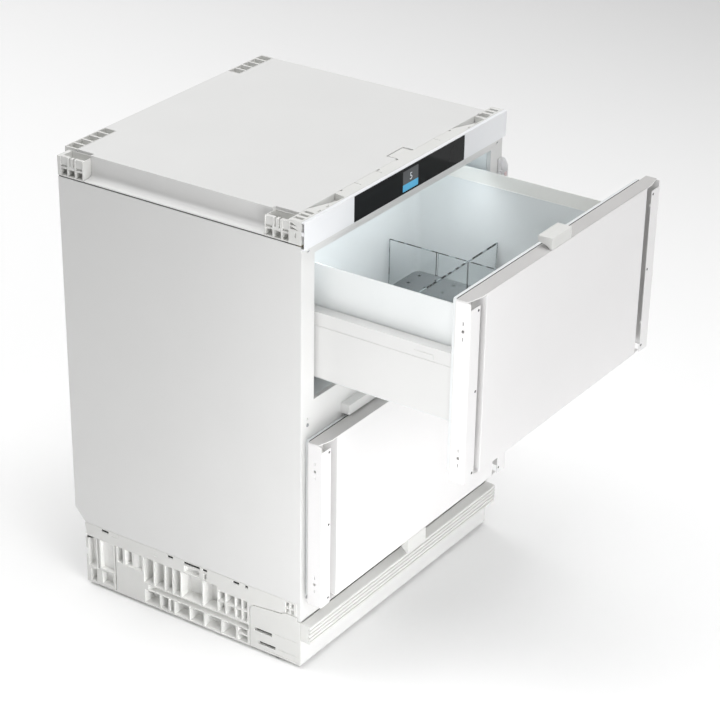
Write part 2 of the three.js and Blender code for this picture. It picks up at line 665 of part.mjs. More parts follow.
// Perforated grey mat on the floor of the upper bin.
function binMat(floor) {
  const half = 214;
  const y = [-232, 152];
  const mat = roundedOutline([-half, half], y, 14);
  const across = 12;
  const along = 11;
  const hole = 2.7;
  for (let i = 0; i < across; i += 1) {
    for (let j = 0; j < along; j += 1) {
      const centreX = -half + ((i + 0.5) * 2 * half) / across;
      const centreY = y[0] + ((j + 0.5) * (y[1] - y[0])) / along;
      const path = new THREE.Path();
      path.absarc(centreX, centreY, hole, 0, 2 * Math.PI, true);
      mat.holes.push(path);
    }
  }
  return alongZ(mat, [floor, floor + MAT], 2);
}

// ---- Runners ---------------------------------------------------------------------------------

// Cabinet member: screwed to the liner, it turns in under the skirt and stands up inside it.
function fixedRail(lift, y) {
  const section = [
    [-261.7, 502], [-261.7, 529], [-245, 529], [-245, 573], [-249, 573], [-249, 575],
    [-243, 575], [-243, 527], [-259.7, 527], [-259.7, 502],
  ];
  return alongY(outline(section.map(([x, z]) => [x, z + lift])), y);
}

// Middle member: a channel that hooks over the cabinet member and carries the side profile.
function middleRail(lift, y) {
  const section = [
    [-252.3, 545], [-252.3, 600], [-238.5, 600], [-238.5, 584],
    [-240.5, 584], [-240.5, 598], [-250.3, 598], [-250.3, 545],
  ];
  return alongY(outline(section.map(([x, z]) => [x, z + lift])), y);
}

// ---- Base ------------------------------------------------------------------------------------

// Pockets between neighbouring ribs of one row, cut into the left wall of the base.
function ribPockets(ribs, z, depth) {
  const half = 1.4;
  return ribs.slice(1).map((rib, i) =>
    block([-HALF_WIDTH - OVER, -HALF_WIDTH + depth], [rib + half, ribs[i] - half], z));
}

function footBores() {
  return [[-276, -178], [-250, 215]].map((centre) => rod(centre, 6.5, [-OVER, 62], 12));
}

// Moulded base tray: pocketed side walls, a floor, and bosses for the levelling feet.
function baseMoulding() {
  const inner = HALF_WIDTH - BASE_WALL;
  const front = FRONT_Y + FRAME_DEPTH + GAP;
  const tray = block([-HALF_WIDTH, HALF_WIDTH], [front, BASE_REAR_Y], [0, SIDE_BOTTOM]);
  const middle = block(
    [-inner, inner], [front - OVER, BASE_REAR_Y + OVER], [BASE_FLOOR, SIDE_BOTTOM + OVER]);
  const coverSeat = alongX(
    coverOutline(1.6, front - OVER, -OVER), [-HALF_WIDTH - OVER, -HALF_WIDTH + COVER_SHEET + GAP]);
  const rearBoss = rod([-250, 215], 11, [0, 60], 12);
  const channelZ = [31, 42];
  const pockets = [
    ...ribPockets([112, 88, 64, 46, 28, -20, -53], [channelZ[1] + 2, BAND_BOTTOM], 26),
    ...ribPockets([111, 76, 56, 44, 10, -22, -60, -93], [2.5, channelZ[0] - 1.5], 24),
    ...ribPockets([-53, -70, -91, -105, -118], [46, 66], 16),
    ...ribPockets([-53, -70, -91, -105, -118], [69, 88], 20),
    ...ribPockets([-95, -118], [3, 16], 20),
    ...ribPockets([-95, -118], [19, 30], 20),
    ...ribPockets([172, 157], [64, BAND_BOTTOM], 26),
    ...ribPockets([211, 179], [37, BAND_BOTTOM], 9),
    ...ribPockets([209, 181], [6, 33], 14),
    ...ribPockets([179, 173], [2.5, BAND_BOTTOM], 22),
    ...ribPockets([219, 212], [34, BAND_BOTTOM], 22),
    ...ribPockets([21, -15], [98.5, 112], 9),
    ...ribPockets([-21, -31], [98.5, 112], 9),
    ...ribPockets([BASE_REAR_Y - 3, 219], [34, BAND_BOTTOM], 15),
    ...ribPockets([BASE_REAR_Y - 8, 219], [4, 30], 18),
    ...ribPockets([-196, -206, -216], [96, 106], 14),
    ...ribPockets([-196, -206, -216], [109, 119], 14),
  ];
  const bossPocket = cut(
    block([-HALF_WIDTH - OVER, -HALF_WIDTH + 26], [115, 153], [64, BAND_BOTTOM]),
    rod([-HALF_WIDTH + 20, 134], 16, [60, BAND_BOTTOM + OVER], 16));
  const channel = block([-HALF_WIDTH - OVER, -HALF_WIDTH + 16], [-119, 101], channelZ);
  const slots = [[189, 206], [44, 56], [-15, 20], [-31, -21], [-100, -87], [-119, -112]].map((y) =>
    block([-HALF_WIDTH - OVER, -HALF_WIDTH + 12], y, [115, 120]));
  const behindCover = COVER_SLOTS.map(([y, z]) =>
    block([-HALF_WIDTH - OVER, -HALF_WIDTH + 14], grow(y, 0.4), grow(z, 0.4)));
  const marks = [[169, 184, 113, 114.2], [169, 170.2, 113, 121], [78, 90, 110, 111.2], [80, 88, 105, 106.2]];
  const stamped = marks.map(([y0, y1, z0, z1]) =>
    block([-HALF_WIDTH - OVER, -HALF_WIDTH + 0.8], [y0, y1], [z0, z1]));
  const notches = [[56, 69], [92, 100]].map((z) =>
    block([-HALF_WIDTH - OVER, -inner + OVER], [BASE_REAR_Y - 4, BASE_REAR_Y + OVER], z));
  const chamfer = alongX(
    outline([[BASE_REAR_Y - 3, 101], [BASE_REAR_Y + OVER, 101], [BASE_REAR_Y + OVER, SIDE_BOTTOM + OVER]]),
    [-HALF_WIDTH - OVER, -inner + OVER]);
  const sideCuts = [
    coverSeat, ...pockets, bossPocket, channel, ...slots, ...behindCover, ...stamped, ...notches, chamfer,
  ];
  const whole = joined(cut(tray, middle), ...bothSides([rearBoss]));
  return cut(whole, ...bothSides([...sideCuts, ...footBores()]));
}

// Outline of the smooth cover over the front end of each base wall, or of its seat, a little larger.
function coverOutline(clear, front, bottom) {
  const shoulder = FRONT_Y + FRAME_DEPTH + GAP;
  return outline([
    [front, bottom], [front, 87.5], [shoulder - clear, 87.5], [shoulder - clear, 95 + clear],
    [-197 + clear, 95 + clear], [-190 + clear, 91 + clear], [COVER_REAR_Y - 6 + clear, 85 + clear],
    [COVER_REAR_Y + clear, 79 + clear], [COVER_REAR_Y + clear, bottom],
  ]);
}

function baseCover() {
  const shell = alongX(coverOutline(0, FRONT_Y, COVER_BOTTOM), [-HALF_WIDTH, -HALF_WIDTH + COVER_SHEET]);
  const through = [-HALF_WIDTH - OVER, -HALF_WIDTH + COVER_SHEET + OVER];
  const slots = COVER_SLOTS.map(([y, z]) => block(through, y, z));
  const grooves = [[-222, -176, 44], [-222, -182, 15], [-225, -150, 4]].map(([y0, y1, z]) =>
    block([-HALF_WIDTH - OVER, -HALF_WIDTH + 0.8], [y0, y1], [z, z + 1.2]));
  return cut(shell, ...slots, ...grooves);
}

// Air grille under the lower drawer: slanting slats tied by end plates and inner webs.
function louvreGrille() {
  const half = HALF_WIDTH - 0.8;
  const rear = FRONT_Y - GAP - 0.2;
  const slats = 5;
  const pitch = (LOUVRE_Z[1] - LOUVRE_Z[0]) / slats;
  const blades = [];
  for (let i = 0; i < slats; i += 1) {
    const z = LOUVRE_Z[0] + i * pitch;
    const section = outline([
      [LOUVRE_FRONT_Y, z], [LOUVRE_FRONT_Y, z + pitch - 2.6], [LOUVRE_FRONT_Y + 3, z + pitch - 1.6],
      [rear, z + pitch + 1.4 - (i === slats - 1 ? 1.4 : 0)], [rear, z + 2.4], [LOUVRE_FRONT_Y + 4, z],
    ]);
    blades.push(alongX(section, [-half, half]));
  }
  const webs = [-1, -0.5, 0, 0.5, 1].map((place) => {
    const x = place * (half - 1.5);
    return block([x - 1.5, x + 1.5], [LOUVRE_FRONT_Y + 5, rear], [LOUVRE_Z[0] + 1, LOUVRE_Z[1] - 1]);
  });
  return joined(...blades, ...webs);
}

// Kick panel: a shallow channel with its flanges turned back.
function plinthPanel() {
  const front = FRONT_Y - GAP;
  const rear = FRONT_Y + FRAME_DEPTH;
  const lift = 0.5;
  const wall = 2;
  const section = outline([
    [front, lift], [front, PLINTH_TOP], [rear, PLINTH_TOP], [rear, PLINTH_TOP - wall],
    [front + wall, PLINTH_TOP - wall], [front + wall, lift + wall], [rear, lift + wall], [rear, lift],
  ]);
  return alongX(section, [-HALF_WIDTH + COVER_SHEET + GAP, HALF_WIDTH - COVER_SHEET - GAP]);
}

// Adjustable foot: a broad pad under a long stem that slides in its boss.
function levellingFoot() {
  const profile = [
    [0, -FOOT_DROP], [16, -FOOT_DROP], [18, -FOOT_DROP + 1.5], [18, -2.5],
    [14, -0.6], [6, -0.6], [6, 57], [5, 58], [0, 58],
  ];
  return turned(profile, 16);
}

// Vented sheet across the rear of the compressor bay.
function rearCover() {
  const face = roundedOutline([-266, 266], [10, BAY_TOP - 4], 8);
  const vents = 9;
  for (let i = 0; i < vents; i += 1) {
    for (const [low, high] of [[60, 110], [125, 175]]) {
      const x = -160 + i * 40;
      const corners = [
        [x - 5, low + 4], [x, low], [x + 5, low + 4], [x + 5, high - 4], [x, high], [x - 5, high - 4],
      ];
      face.holes.push(new THREE.Path(corners.map(([u, v]) => new THREE.Vector2(u, v))));
    }
  }
  face.holes.push(roundedOutline([200, 232], [30, 54], 3));
  return alongY(face, [BASE_REAR_Y - 4, BASE_REAR_Y - 2], 1);
}

function powerInlet() {
  const wide = [201, 231];
  const tall = [31, 53];
  const body = alongY(roundedOutline(wide, tall, 2), [BASE_REAR_Y - 22, BASE_REAR_Y - 1], 2);
  const opening = roundedOutline(grow(wide, -3), grow(tall, -3), 2);
  const mouth = alongY(opening, [BASE_REAR_Y - 15, BASE_REAR_Y], 2);
  const pins = [[208, 39], [216, 45], [224, 39]].map(([x, z]) =>
    block([x - 1, x + 1], [BASE_REAR_Y - 16, BASE_REAR_Y - 5], [z - 2, z + 2]));
  return joined(cut(body, mouth), ...pins);
}

// ---- Cooling ---------------------------------------------------------------------------------

// Hermetic compressor: a welded pot on its mounting plate, with its terminal box and tube stubs.
function compressor() {
  const centre = [-60, 155];
  const pot = turned([
    [0, 14], [46, 14], [66, 24], [74, 42], [76, 78], [80, 79], [80, 83], [76, 84],
    [74, 112], [62, 136], [38, 150], [0, 155],
  ], 20).translate(...centre, 0);
  const plate = block([-165, 45], [105, 205], [12, 16]);
  const grommets = [[-153, 117], [33, 117], [-153, 193], [33, 193]].map((place) =>
    rod(place, 9, [BASE_FLOOR + GAP, 13], 10));
  const terminals = block([8, 42], [130, 180], [50, 112]);
  const suction = rod([-60 + 40, 100], 4, [100, 130], 8);
  return joined(pot, plate, ...grommets, terminals, suction);
}

// Finned condenser behind the louvre, where the fan draws room air through it.
function condenser() {
  const fins = 9;
  const pitch = 38;
  const first = -((fins - 1) / 2) * pitch;
  const plates = [];
  for (let i = 0; i < fins; i += 1) {
    const x = first + i * pitch;
    plates.push(block([x - 0.8, x + 0.8], [-180, -110], [BASE_FLOOR + GAP, 112]));
  }
  const rows = [[-162, 30], [-128, 58], [-162, 86]];
  const tubes = rows.map(([y, z]) =>
    new THREE.CylinderGeometry(4, 4, (fins + 0.6) * pitch, 6).rotateZ(Math.PI / 2).translate(0, y, z));
  return joined(...plates, ...tubes);
}

const FAN_CENTRE = [0, 60];
const FAN_BORE = 46;

function fanShroud() {
  const wall = [-96, -92];
  const plate = block([-160, 160], wall, [BASE_FLOOR + GAP, 116]);
  const turn = (geometry) => geometry.rotateX(Math.PI / 2).translate(FAN_CENTRE[0], 0, FAN_CENTRE[1]);
  const ring = turn(rod([0, 0], FAN_BORE + 3, [-14, 0], 20)).translate(0, -96, 0);
  const bore = turn(rod([0, 0], FAN_BORE, [-20, 20], 20)).translate(0, -94, 0);
  const spider = [0, 1, 2].map((arm) =>
    block([-2.5, 2.5], [-83, -80], [10, FAN_BORE + 2]).rotateY((arm * 2 * Math.PI) / 3).translate(
      FAN_CENTRE[0], 0, FAN_CENTRE[1]));
  const motor = turn(rod([0, 0], 14, [-6, 8], 12)).translate(0, -74, 0);
  return joined(cut(joined(plate, ring), bore), ...spider, motor);
}

function fanRotor() {
  const blades = 5;
  const hub = rod([0, 0], 13, [0, 10], 14).rotateX(Math.PI / 2);
  const wings = [];
  for (let i = 0; i < blades; i += 1) {
    const wing = block([-11, 11], [-0.8, 0.8], [9, FAN_BORE - 4]);
    wings.push(wing.rotateZ(0.5).translate(0, -5, 0).rotateY((i * 2 * Math.PI) / blades));
  }
  return joined(hub, ...wings).translate(FAN_CENTRE[0], -85, FAN_CENTRE[1]);
}

// Cold plate foamed in behind the upper compartment, with its refrigerant channel standing proud.
function evaporatorPlate() {
  const y = CAVITY_REAR_Y + LINER + GAP + 1;
  const sheet = block([-200, 200], [y, y + 1.5], [520, 740]);
  const passes = 6;
  const channel = [];
  for (let i = 0; i < passes; i += 1) {
    const z = 540 + i * 36;
    channel.push(block([-180, 180], [y + 1, y + 5], [z - 4, z + 4]));
    if (i < passes - 1) {
      const x = i % 2 ? -176 : 176;
      channel.push(block([x - 4, x + 4], [y + 1, y + 5], [z, z + 36]));
    }
  }
  return joined(sheet, ...channel);
}

// ---- Assembly --------------------------------------------------------------------------------

const FINISHES = {
  whiteSteel: [0xf1f1f0, 0.42, 0.1],
  whitePlastic: [0xeeeeec, 0.5, 0],
  fasciaPlastic: [0xedeef1, 0.4, 0],
  linerPlastic: [0xe8eef0, 0.45, 0],
  foam: [0xe9dfb8, 0.9, 0],
  blackGlass: [0x2b2c2d, 0.08, 0],
  darkPlastic: [0x2a2b2d, 0.6, 0],
  clearPlastic: [0xdfe8ea, 0.1, 0],
  greyMat: [0x8d9192, 0.8, 0],
  gasketRubber: [0xd9dadb, 0.7, 0],
  zincSteel: [0xb4b7ba, 0.35, 0.9],
  blackEnamel: [0x1c1c1e, 0.35, 0.3],
  aluminium: [0xc9ccce, 0.4, 0.9],
};

const cabinet = new THREE.Group();
const upperDrawer = new THREE.Group();
const lowerDrawer = new THREE.Group();

function add(group, name, geometry, finish) {
  const [color, roughness, metalness] = FINISHES[finish];
  const mesh = new THREE.Mesh(geometry, new THREE.MeshStandardMaterial({ color, roughness, metalness }));
  mesh.name = name;
  group.add(mesh);
  return mesh;
}

function addPair(group, side, geometry, finish) {
  add(group, side('left'), geometry, finish);
  add(group, side('right'), mirrored(geometry), finish);
}

addPair(cabinet, (side) => `${side}_side_panel`, sidePanel(), 'whiteSteel');
add(cabinet, 'back_panel', backPanel(), 'whiteSteel');
add(cabinet, 'top_cover', topCover(), 'whiteSteel');
add(cabinet, 'foam_body', foamBody(), 'foam');
add(cabinet, 'upper_liner', upperLiner(), 'linerPlastic');
add(cabinet, 'lower_liner', lowerLiner(), 'linerPlastic');
add(cabinet, 'rear_left_corner_block', rearCornerBlock(LEFT_LEG), 'whitePlastic');
add(cabinet, 'rear_right_corner_block', mirrored(rearCornerBlock(RIGHT_LEG)), 'whitePlastic');
add(cabinet, 'front_top_moulding', frontTopMoulding(), 'whitePlastic');
add(cabinet, 'front_frame', frontFrame(), 'whiteSteel');
add(cabinet, 'control_fascia', controlFascia(), 'fasciaPlastic');
add(cabinet, 'touch_glass', touchGlass(), 'blackGlass');
add(cabinet, 'display_module', displayModule(), 'darkPlastic');
add(cabinet, 'light_cover', lightCover(), 'clearPlastic');
add(cabinet, 'fixing_bracket', fixingBracket(), 'whitePlastic');
add(cabinet, 'base_moulding', baseMoulding(), 'whitePlastic');
addPair(cabinet, (side) => `${side}_base_cover`, baseCover(), 'whitePlastic');
add(cabinet, 'louvre_grille', louvreGrille(), 'whitePlastic');
add(cabinet, 'plinth_panel', plinthPanel(), 'whiteSteel');
add(cabinet, 'rear_cover', rearCover(), 'zincSteel');
add(cabinet, 'power_inlet', powerInlet(), 'darkPlastic');
add(cabinet, 'compressor', compressor(), 'blackEnamel');
add(cabinet, 'condenser', condenser(), 'aluminium');
add(cabinet, 'fan_shroud', fanShroud(), 'darkPlastic');
add(cabinet, 'fan_rotor', fanRotor(), 'darkPlastic');
add(cabinet, 'evaporator_plate', evaporatorPlate(), 'aluminium');

for (const [end, centre] of [['front', [-276, -178]], ['rear', [-250, 215]]]) {
  const foot = levellingFoot().translate(...centre, 0);
  addPair(cabinet, (side) => `${end}_${side}_foot`, foot, 'darkPlastic');
}

const middleTravel = -UPPER_OPEN / 2;
const uppermost = { lift: 0, runner: UPPER_RUNNER_Y, out: middleTravel };
const lowermost = { lift: -DRAWER_PITCH, runner: LOWER_RUNNER_Y, out: 0 };
for (const [name, { lift, runner, out }] of [['upper', uppermost], ['lower', lowermost]]) {
  addPair(cabinet, (side) => `${name}_${side}_fixed_rail`, fixedRail(lift, runner), 'zincSteel');
  const channel = middleRail(lift, runner).translate(0, out, 0);
  addPair(cabinet, (side) => `${name}_${side}_middle_rail`, channel, 'zincSteel');
}

// One drawer: front, seal, bin and the two profiles that ride on its runners.
function addDrawer(group, name, lift, binRear) {
  const door = DOOR_Z.map((z) => z + lift);
  const binZ = BIN_Z.map((z) => z + lift);
  add(group, `${name}_door_panel`, doorPanel(door), 'whiteSteel');
  add(group, `${name}_door_inner_plate`, doorPlate(door), 'whitePlastic');
  add(group, `${name}_door_gasket`, doorGasket(door), 'gasketRubber');
  addPair(group, (side) => `${name}_${side}_mount_rail`, mountRail(door), 'whiteSteel');
  add(group, `${name}_bin`, bin(binZ, binRear), 'linerPlastic');
  const profile = sideProfile(binZ[0], binRear - BIN_REAR_DRAFT);
  addPair(group, (side) => `${name}_${side}_side_profile`, profile, 'whiteSteel');
  return { door, floor: binZ[0] + 3 + GAP };
}

const upper = addDrawer(upperDrawer, 'upper', 0, UPPER_BIN_REAR_Y);
add(upperDrawer, 'upper_door_hook', headHook(upper.door), 'whitePlastic');
add(upperDrawer, 'bin_mat', binMat(upper.floor), 'greyMat');
add(upperDrawer, 'bottle_divider', bottleDivider(upper.floor + MAT + GAP), 'clearPlastic');

const lower = addDrawer(lowerDrawer, 'lower', -DRAWER_PITCH, LOWER_BIN_REAR_Y);
add(lowerDrawer, 'lower_door_tab', footTab(lower.door), 'whitePlastic');

upperDrawer.position.y = -UPPER_OPEN;

const frontmost = DOOR_FRONT_Y - UPPER_OPEN;
const refrigerator = new THREE.Group();
refrigerator.add(cabinet, upperDrawer, lowerDrawer);
refrigerator.position.set(0, -(frontmost + TOP_REAR_Y) / 2, FOOT_DROP);

export default refrigerator;
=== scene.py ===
"""Finish of the undercounter drawer refrigerator: surfaces, small fittings, studio and camera."""

import json
import math

import bmesh
import bpy
from mathutils import Matrix, Vector


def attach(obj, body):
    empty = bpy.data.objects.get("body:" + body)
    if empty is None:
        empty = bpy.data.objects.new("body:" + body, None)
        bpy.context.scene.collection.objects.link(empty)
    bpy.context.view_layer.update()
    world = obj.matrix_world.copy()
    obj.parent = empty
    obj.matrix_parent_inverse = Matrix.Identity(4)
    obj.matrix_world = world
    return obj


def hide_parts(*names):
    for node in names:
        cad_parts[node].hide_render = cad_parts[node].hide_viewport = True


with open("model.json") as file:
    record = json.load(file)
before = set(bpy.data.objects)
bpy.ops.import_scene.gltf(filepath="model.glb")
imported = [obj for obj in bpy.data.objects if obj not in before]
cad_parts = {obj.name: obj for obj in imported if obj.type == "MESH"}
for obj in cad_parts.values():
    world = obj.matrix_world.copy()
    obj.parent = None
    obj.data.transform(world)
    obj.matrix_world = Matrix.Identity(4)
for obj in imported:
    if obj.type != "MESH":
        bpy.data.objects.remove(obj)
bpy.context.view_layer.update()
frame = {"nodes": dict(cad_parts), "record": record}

# ---- Sizes, in millimetres in the cabinet's own frame -----------------------------------------

MM = 0.001
FRAME_SHIFT = Vector((0, 131.9, 6.0))  # from the cabinet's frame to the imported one
UPPER_OPEN = 268.0  # how far the upper drawer rests pulled out
DRAWER_PITCH = 329.0  # the lower drawer repeats the upper one this far down
DOOR_FRONT_Y = -267.8  # depth of the seal's half that is painted dark as shade, from its face on the door
SEAL_SHADE_DEPTH = 3.4  # the stiff foot of a seal, from its face on the door
BASE_OUTER_X = 297.9  # the pockets of the base tray start inside this
BIN_BAND_Z = 710.0  # where the warmer rim band of the upper bin starts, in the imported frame
CUT_TOLERANCE = 0.02  # a cut plane takes over points that are nearer than this

BODY_OF = {node: body for body, nodes in frame["record"]["behaviour"]["bodies"].items() for node in nodes}
SLOT_OF = {part["node"]: part["material_slot"] for part in frame["record"]["subparts"]}


def at(x, y, z):
    """A point of the cabinet's frame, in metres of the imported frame."""
    return (Vector((x, y, z)) + FRAME_SHIFT) * MM


# ---- Materials --------------------------------------------------------------------------------

def linear(hex_colour):
    """An sRGB hex colour as linear RGBA."""
    channels = [int(hex_colour[i:i + 2], 16) / 255 for i in (1, 3, 5)]
    return tuple(c / 12.92 if c <= 0.04045 else ((c + 0.055) / 1.055) ** 2.4 for c in channels) + (1.0,)


def add_node(tree, kind, links=(), settings=(), **values):
    """Adds a node, sets its properties and input values, and links inputs from other nodes' outputs."""
    node = tree.nodes.new(kind)
    for name, value in dict(settings).items():
        setattr(node, name, value)
    for name, value in values.items():
        node.inputs[name.replace("_", " ")].default_value = value
    for target, (source, output) in dict(links).items():
        tree.links.new(source.outputs[output], node.inputs[target])
    return node


def start_material(name, colour, roughness, metallic=0.0, **shader_values):
    """A material with its shader, and the Object coordinates that its patterns read."""
    material = bpy.data.materials.new(name)
    material.use_nodes = True
    tree = material.node_tree
    shader = tree.nodes["Principled BSDF"]
    shader.inputs["Base Color"].default_value = linear(colour)
    shader.inputs["Roughness"].default_value = roughness
    shader.inputs["Metallic"].default_value = metallic
    for socket, value in shader_values.items():
        shader.inputs[socket.replace("_", " ")].default_value = value
    place = add_node(tree, "ShaderNodeTexCoord")
    return material, tree, shader, place


def speckle(tree, place, size_mm, detail=2.0, stretch=(1, 1, 1)):
    """Noise whose grains are about size_mm across."""
    turn = add_node(tree, "ShaderNodeMapping", links={"Vector": (place, "Object")}, Scale=stretch)
    return add_node(tree, "ShaderNodeTexNoise", links={"Vector": (turn, "Vector")},
                    Scale=1 / (size_mm * MM), Detail=detail, Roughness=0.5)


def tint_and_grain(tree, shader, place, colours, patch_mm, grain_mm, bump_mm, roughness):
    """Broad patches between two near colours, a fine grain in the relief, and uneven gloss."""
    patches = speckle(tree, place, patch_mm)
    ramp = add_node(tree, "ShaderNodeMix", links={"Factor": (patches, "Fac")}, settings={"data_type": "RGBA"})
    ramp.inputs[6].default_value = linear(colours[0])
    ramp.inputs[7].default_value = linear(colours[1])
    tree.links.new(ramp.outputs[2], shader.inputs["Base Color"])
    grain = speckle(tree, place, grain_mm)
    gloss = add_node(tree, "ShaderNodeMapRange", links={"Value": (grain, "Fac")})
    gloss.inputs["To Min"].default_value = roughness[0]
    gloss.inputs["To Max"].default_value = roughness[1]
    tree.links.new(gloss.outputs["Result"], shader.inputs["Roughness"])
    relief = add_node(tree, "ShaderNodeBump", links={"Height": (grain, "Fac")},
                      Strength=1.0, Distance=bump_mm * MM)
    tree.links.new(relief.outputs["Normal"], shader.inputs["Normal"])


def powder_coated_steel(name, colours):
    """White polyester powder on sheet steel, baked: a satin skin with a faint orange peel, 2 mm across."""
    material, tree, shader, place = start_material(name, colours[0], 0.38, IOR=1.5)
    tint_and_grain(tree, shader, place, colours, 120, 2.0, 0.010, (0.34, 0.42))
    return material


def moulded_abs():
    """White ABS from a spark-eroded mould: a soft matt grain under 1 mm, a little greyer than the paint."""
    material, tree, shader, place = start_material("moulded_abs", "#ECECEA", 0.5, IOR=1.53)
    tint_and_grain(tree, shader, place, ("#E2E2E0", "#DBDBD8"), 40, 0.8, 0.020, (0.44, 0.58))
    return material


def filled_polypropylene(name, colours):
    """Pale filled polypropylene of the base tray, dull; its paler copy on the pockets' faces is painted
    light.
    """
    material, tree, shader, place = start_material(name, colours[0], 0.55, IOR=1.5)
    tint_and_grain(tree, shader, place, colours, 50, 1.0, 0.020, (0.5, 0.62))
    return material


def fascia_abs():
    """Smooth painted ABS of the head strip: cooler and glossier than the mouldings behind it."""
    material, tree, shader, place = start_material("fascia_abs", "#EFF0F3", 0.32, IOR=1.53)
    tint_and_grain(tree, shader, place, ("#F6F7F9", "#F1F2F5"), 90, 1.2, 0.006, (0.28, 0.36))
    return material


def vacuum_formed_polystyrene():
    """White polystyrene sheet drawn over a mould: a smooth cool skin with slow waves."""
    material, tree, shader, place = start_material("vacuum_formed_polystyrene", "#E6ECEE", 0.35, IOR=1.59)
    tint_and_grain(tree, shader, place, ("#EEF1F1", "#E9ECEC"), 60, 6.0, 0.030, (0.30, 0.40))
    return material


def black_backed_glass():
    """Float glass printed black behind: a dark, even, sharply glossy face."""
    material, tree, shader, place = start_material(
        "black_backed_glass", "#1C1D1E", 0.06, IOR=1.52, Specular_IOR_Level=0.08)
    tint_and_grain(tree, shader, place, ("#1D1E1F", "#191A1B"), 80, 30.0, 0.001, (0.05, 0.08))
    return material


def black_nylon():
    """Glass-filled nylon: a dull black moulding with a fine fibrous grain."""
    material, tree, shader, place = start_material("black_nylon", "#252628", 0.6, IOR=1.53)
    tint_and_grain(tree, shader, place, ("#292A2C", "#212224"), 20, 0.7, 0.020, (0.52, 0.68))
    return material


def clear_styrene():
    """Clear styrene acrylonitrile, injection moulded: water clear with faint flow waves and bright edges."""
    material, tree, shader, place = start_material(
        "clear_styrene", "#FAFCFC", 0.06, IOR=1.57, Transmission_Weight=0.985)
    waves = speckle(tree, place, 25)
    relief = add_node(tree, "ShaderNodeBump", links={"Height": (waves, "Fac")},
                      Strength=1.0, Distance=0.02 * MM)
    tree.links.new(relief.outputs["Normal"], shader.inputs["Normal"])
    return material


def mat_rubber():
    """Grey thermoplastic rubber: a dry matt face with a fine stipple."""
    material, tree, shader, place = start_material("mat_rubber", "#949798", 0.8, IOR=1.5)
    tint_and_grain(tree, shader, place, ("#989B9C", "#8C8F90"), 12, 0.8, 0.050, (0.72, 0.88))
    return material


def seal_elastomer():
    """Soft pale grey PVC of a magnetic seal: close in tone to the bin behind it."""
    material, tree, shader, place = start_material("seal_elastomer", "#E6E8E9", 0.62, IOR=1.53)
    tint_and_grain(tree, shader, place, ("#EAECED", "#E0E3E4"), 15, 0.9, 0.020, (0.55, 0.7))
    return material


def zinc_plated_steel():
    """Bright zinc on cold-rolled steel: bluish metal with fine drawn lines along the runner."""
    material, tree, shader, place = start_material("zinc_plated_steel", "#B9BCC0", 0.34, metallic=1.0)
    lines = speckle(tree, place, 1.0, stretch=(1, 0.02, 1))
    gloss = add_node(tree, "ShaderNodeMapRange", links={"Value": (lines, "Fac")})
    gloss.inputs["To Min"].default_value = 0.26
    gloss.inputs["To Max"].default_value = 0.44
    tree.links.new(gloss.outputs["Result"], shader.inputs["Roughness"])
    relief = add_node(tree, "ShaderNodeBump", links={"Height": (lines, "Fac")},
                      Strength=1.0, Distance=0.01 * MM)
    tree.links.new(relief.outputs["Normal"], shader.inputs["Normal"])
    return material


def stove_enamel():
    """Black stove enamel on a steel pot: semi-gloss, slightly dimpled."""
    material, tree, shader, place = start_material("stove_enamel", "#17181A", 0.3, IOR=1.5)
    tint_and_grain(tree, shader, place, ("#1A1B1D", "#141517"), 30, 2.0, 0.030, (0.24, 0.38))
    return material


def mill_aluminium():
    """Rolled aluminium sheet as it leaves the mill: pale metal, soft rolling lines across."""
    material, tree, shader, place = start_material("mill_aluminium", "#D3D5D6", 0.36, metallic=1.0)
    lines = speckle(tree, place, 1.5, stretch=(0.05, 1, 1))
    gloss = add_node(tree, "ShaderNodeMapRange", links={"Value": (lines, "Fac")})
    gloss.inputs["To Min"].default_value = 0.28
    gloss.inputs["To Max"].default_value = 0.46
    tree.links.new(gloss.outputs["Result"], shader.inputs["Roughness"])
    return material


def rigid_foam():
    """Polyurethane foam: a pale yellow, chalky, cellular face."""
    material, tree, shader, place = start_material("rigid_foam", "#E3D9AE", 0.95)
    tint_and_grain(tree, shader, place, ("#E8DFB6", "#D9CE9F"), 30, 1.5, 0.300, (0.9, 1.0))
    return material


MATERIALS = {
    "white_steel": powder_coated_steel("powder_coated_steel", ("#E4E4E3", "#E0E0DF")),
    "white_plastic": moulded_abs(),
    "fascia_plastic": fascia_abs(),
    "liner_plastic": vacuum_formed_polystyrene(),
    "black_glass": black_backed_glass(),
    "dark_plastic": black_nylon(),
    "clear_plastic": clear_styrene(),
    "grey_mat": mat_rubber(),
    "gasket_rubber": seal_elastomer(),
    "zinc_steel": zinc_plated_steel(),
    "black_enamel": stove_enamel(),
    "aluminium": mill_aluminium(),
    "insulation": rigid_foam(),
}


GLOW_DRIFT = 0.15  # share by which a lit surface is brighter or dimmer in places


def lit(name, colour, strength, roughness, patch_mm):
    """A surface with light behind it: an even glow that drifts a little over patch_mm."""
    material, tree, shader, place = start_material(name, colour, roughness, IOR=1.5)
    patches = speckle(tree, place, patch_mm)
    glow = add_node(tree, "ShaderNodeMapRange", links={"Value": (patches, "Fac")})
    glow.inputs["To Min"].default_value = strength * (1 - GLOW_DRIFT)
    glow.inputs["To Max"].default_value = strength * (1 + GLOW_DRIFT)
    tree.links.new(glow.outputs["Result"], shader.inputs["Emission Strength"])
    shader.inputs["Emission Color"].default_value = linear(colour)
    return material


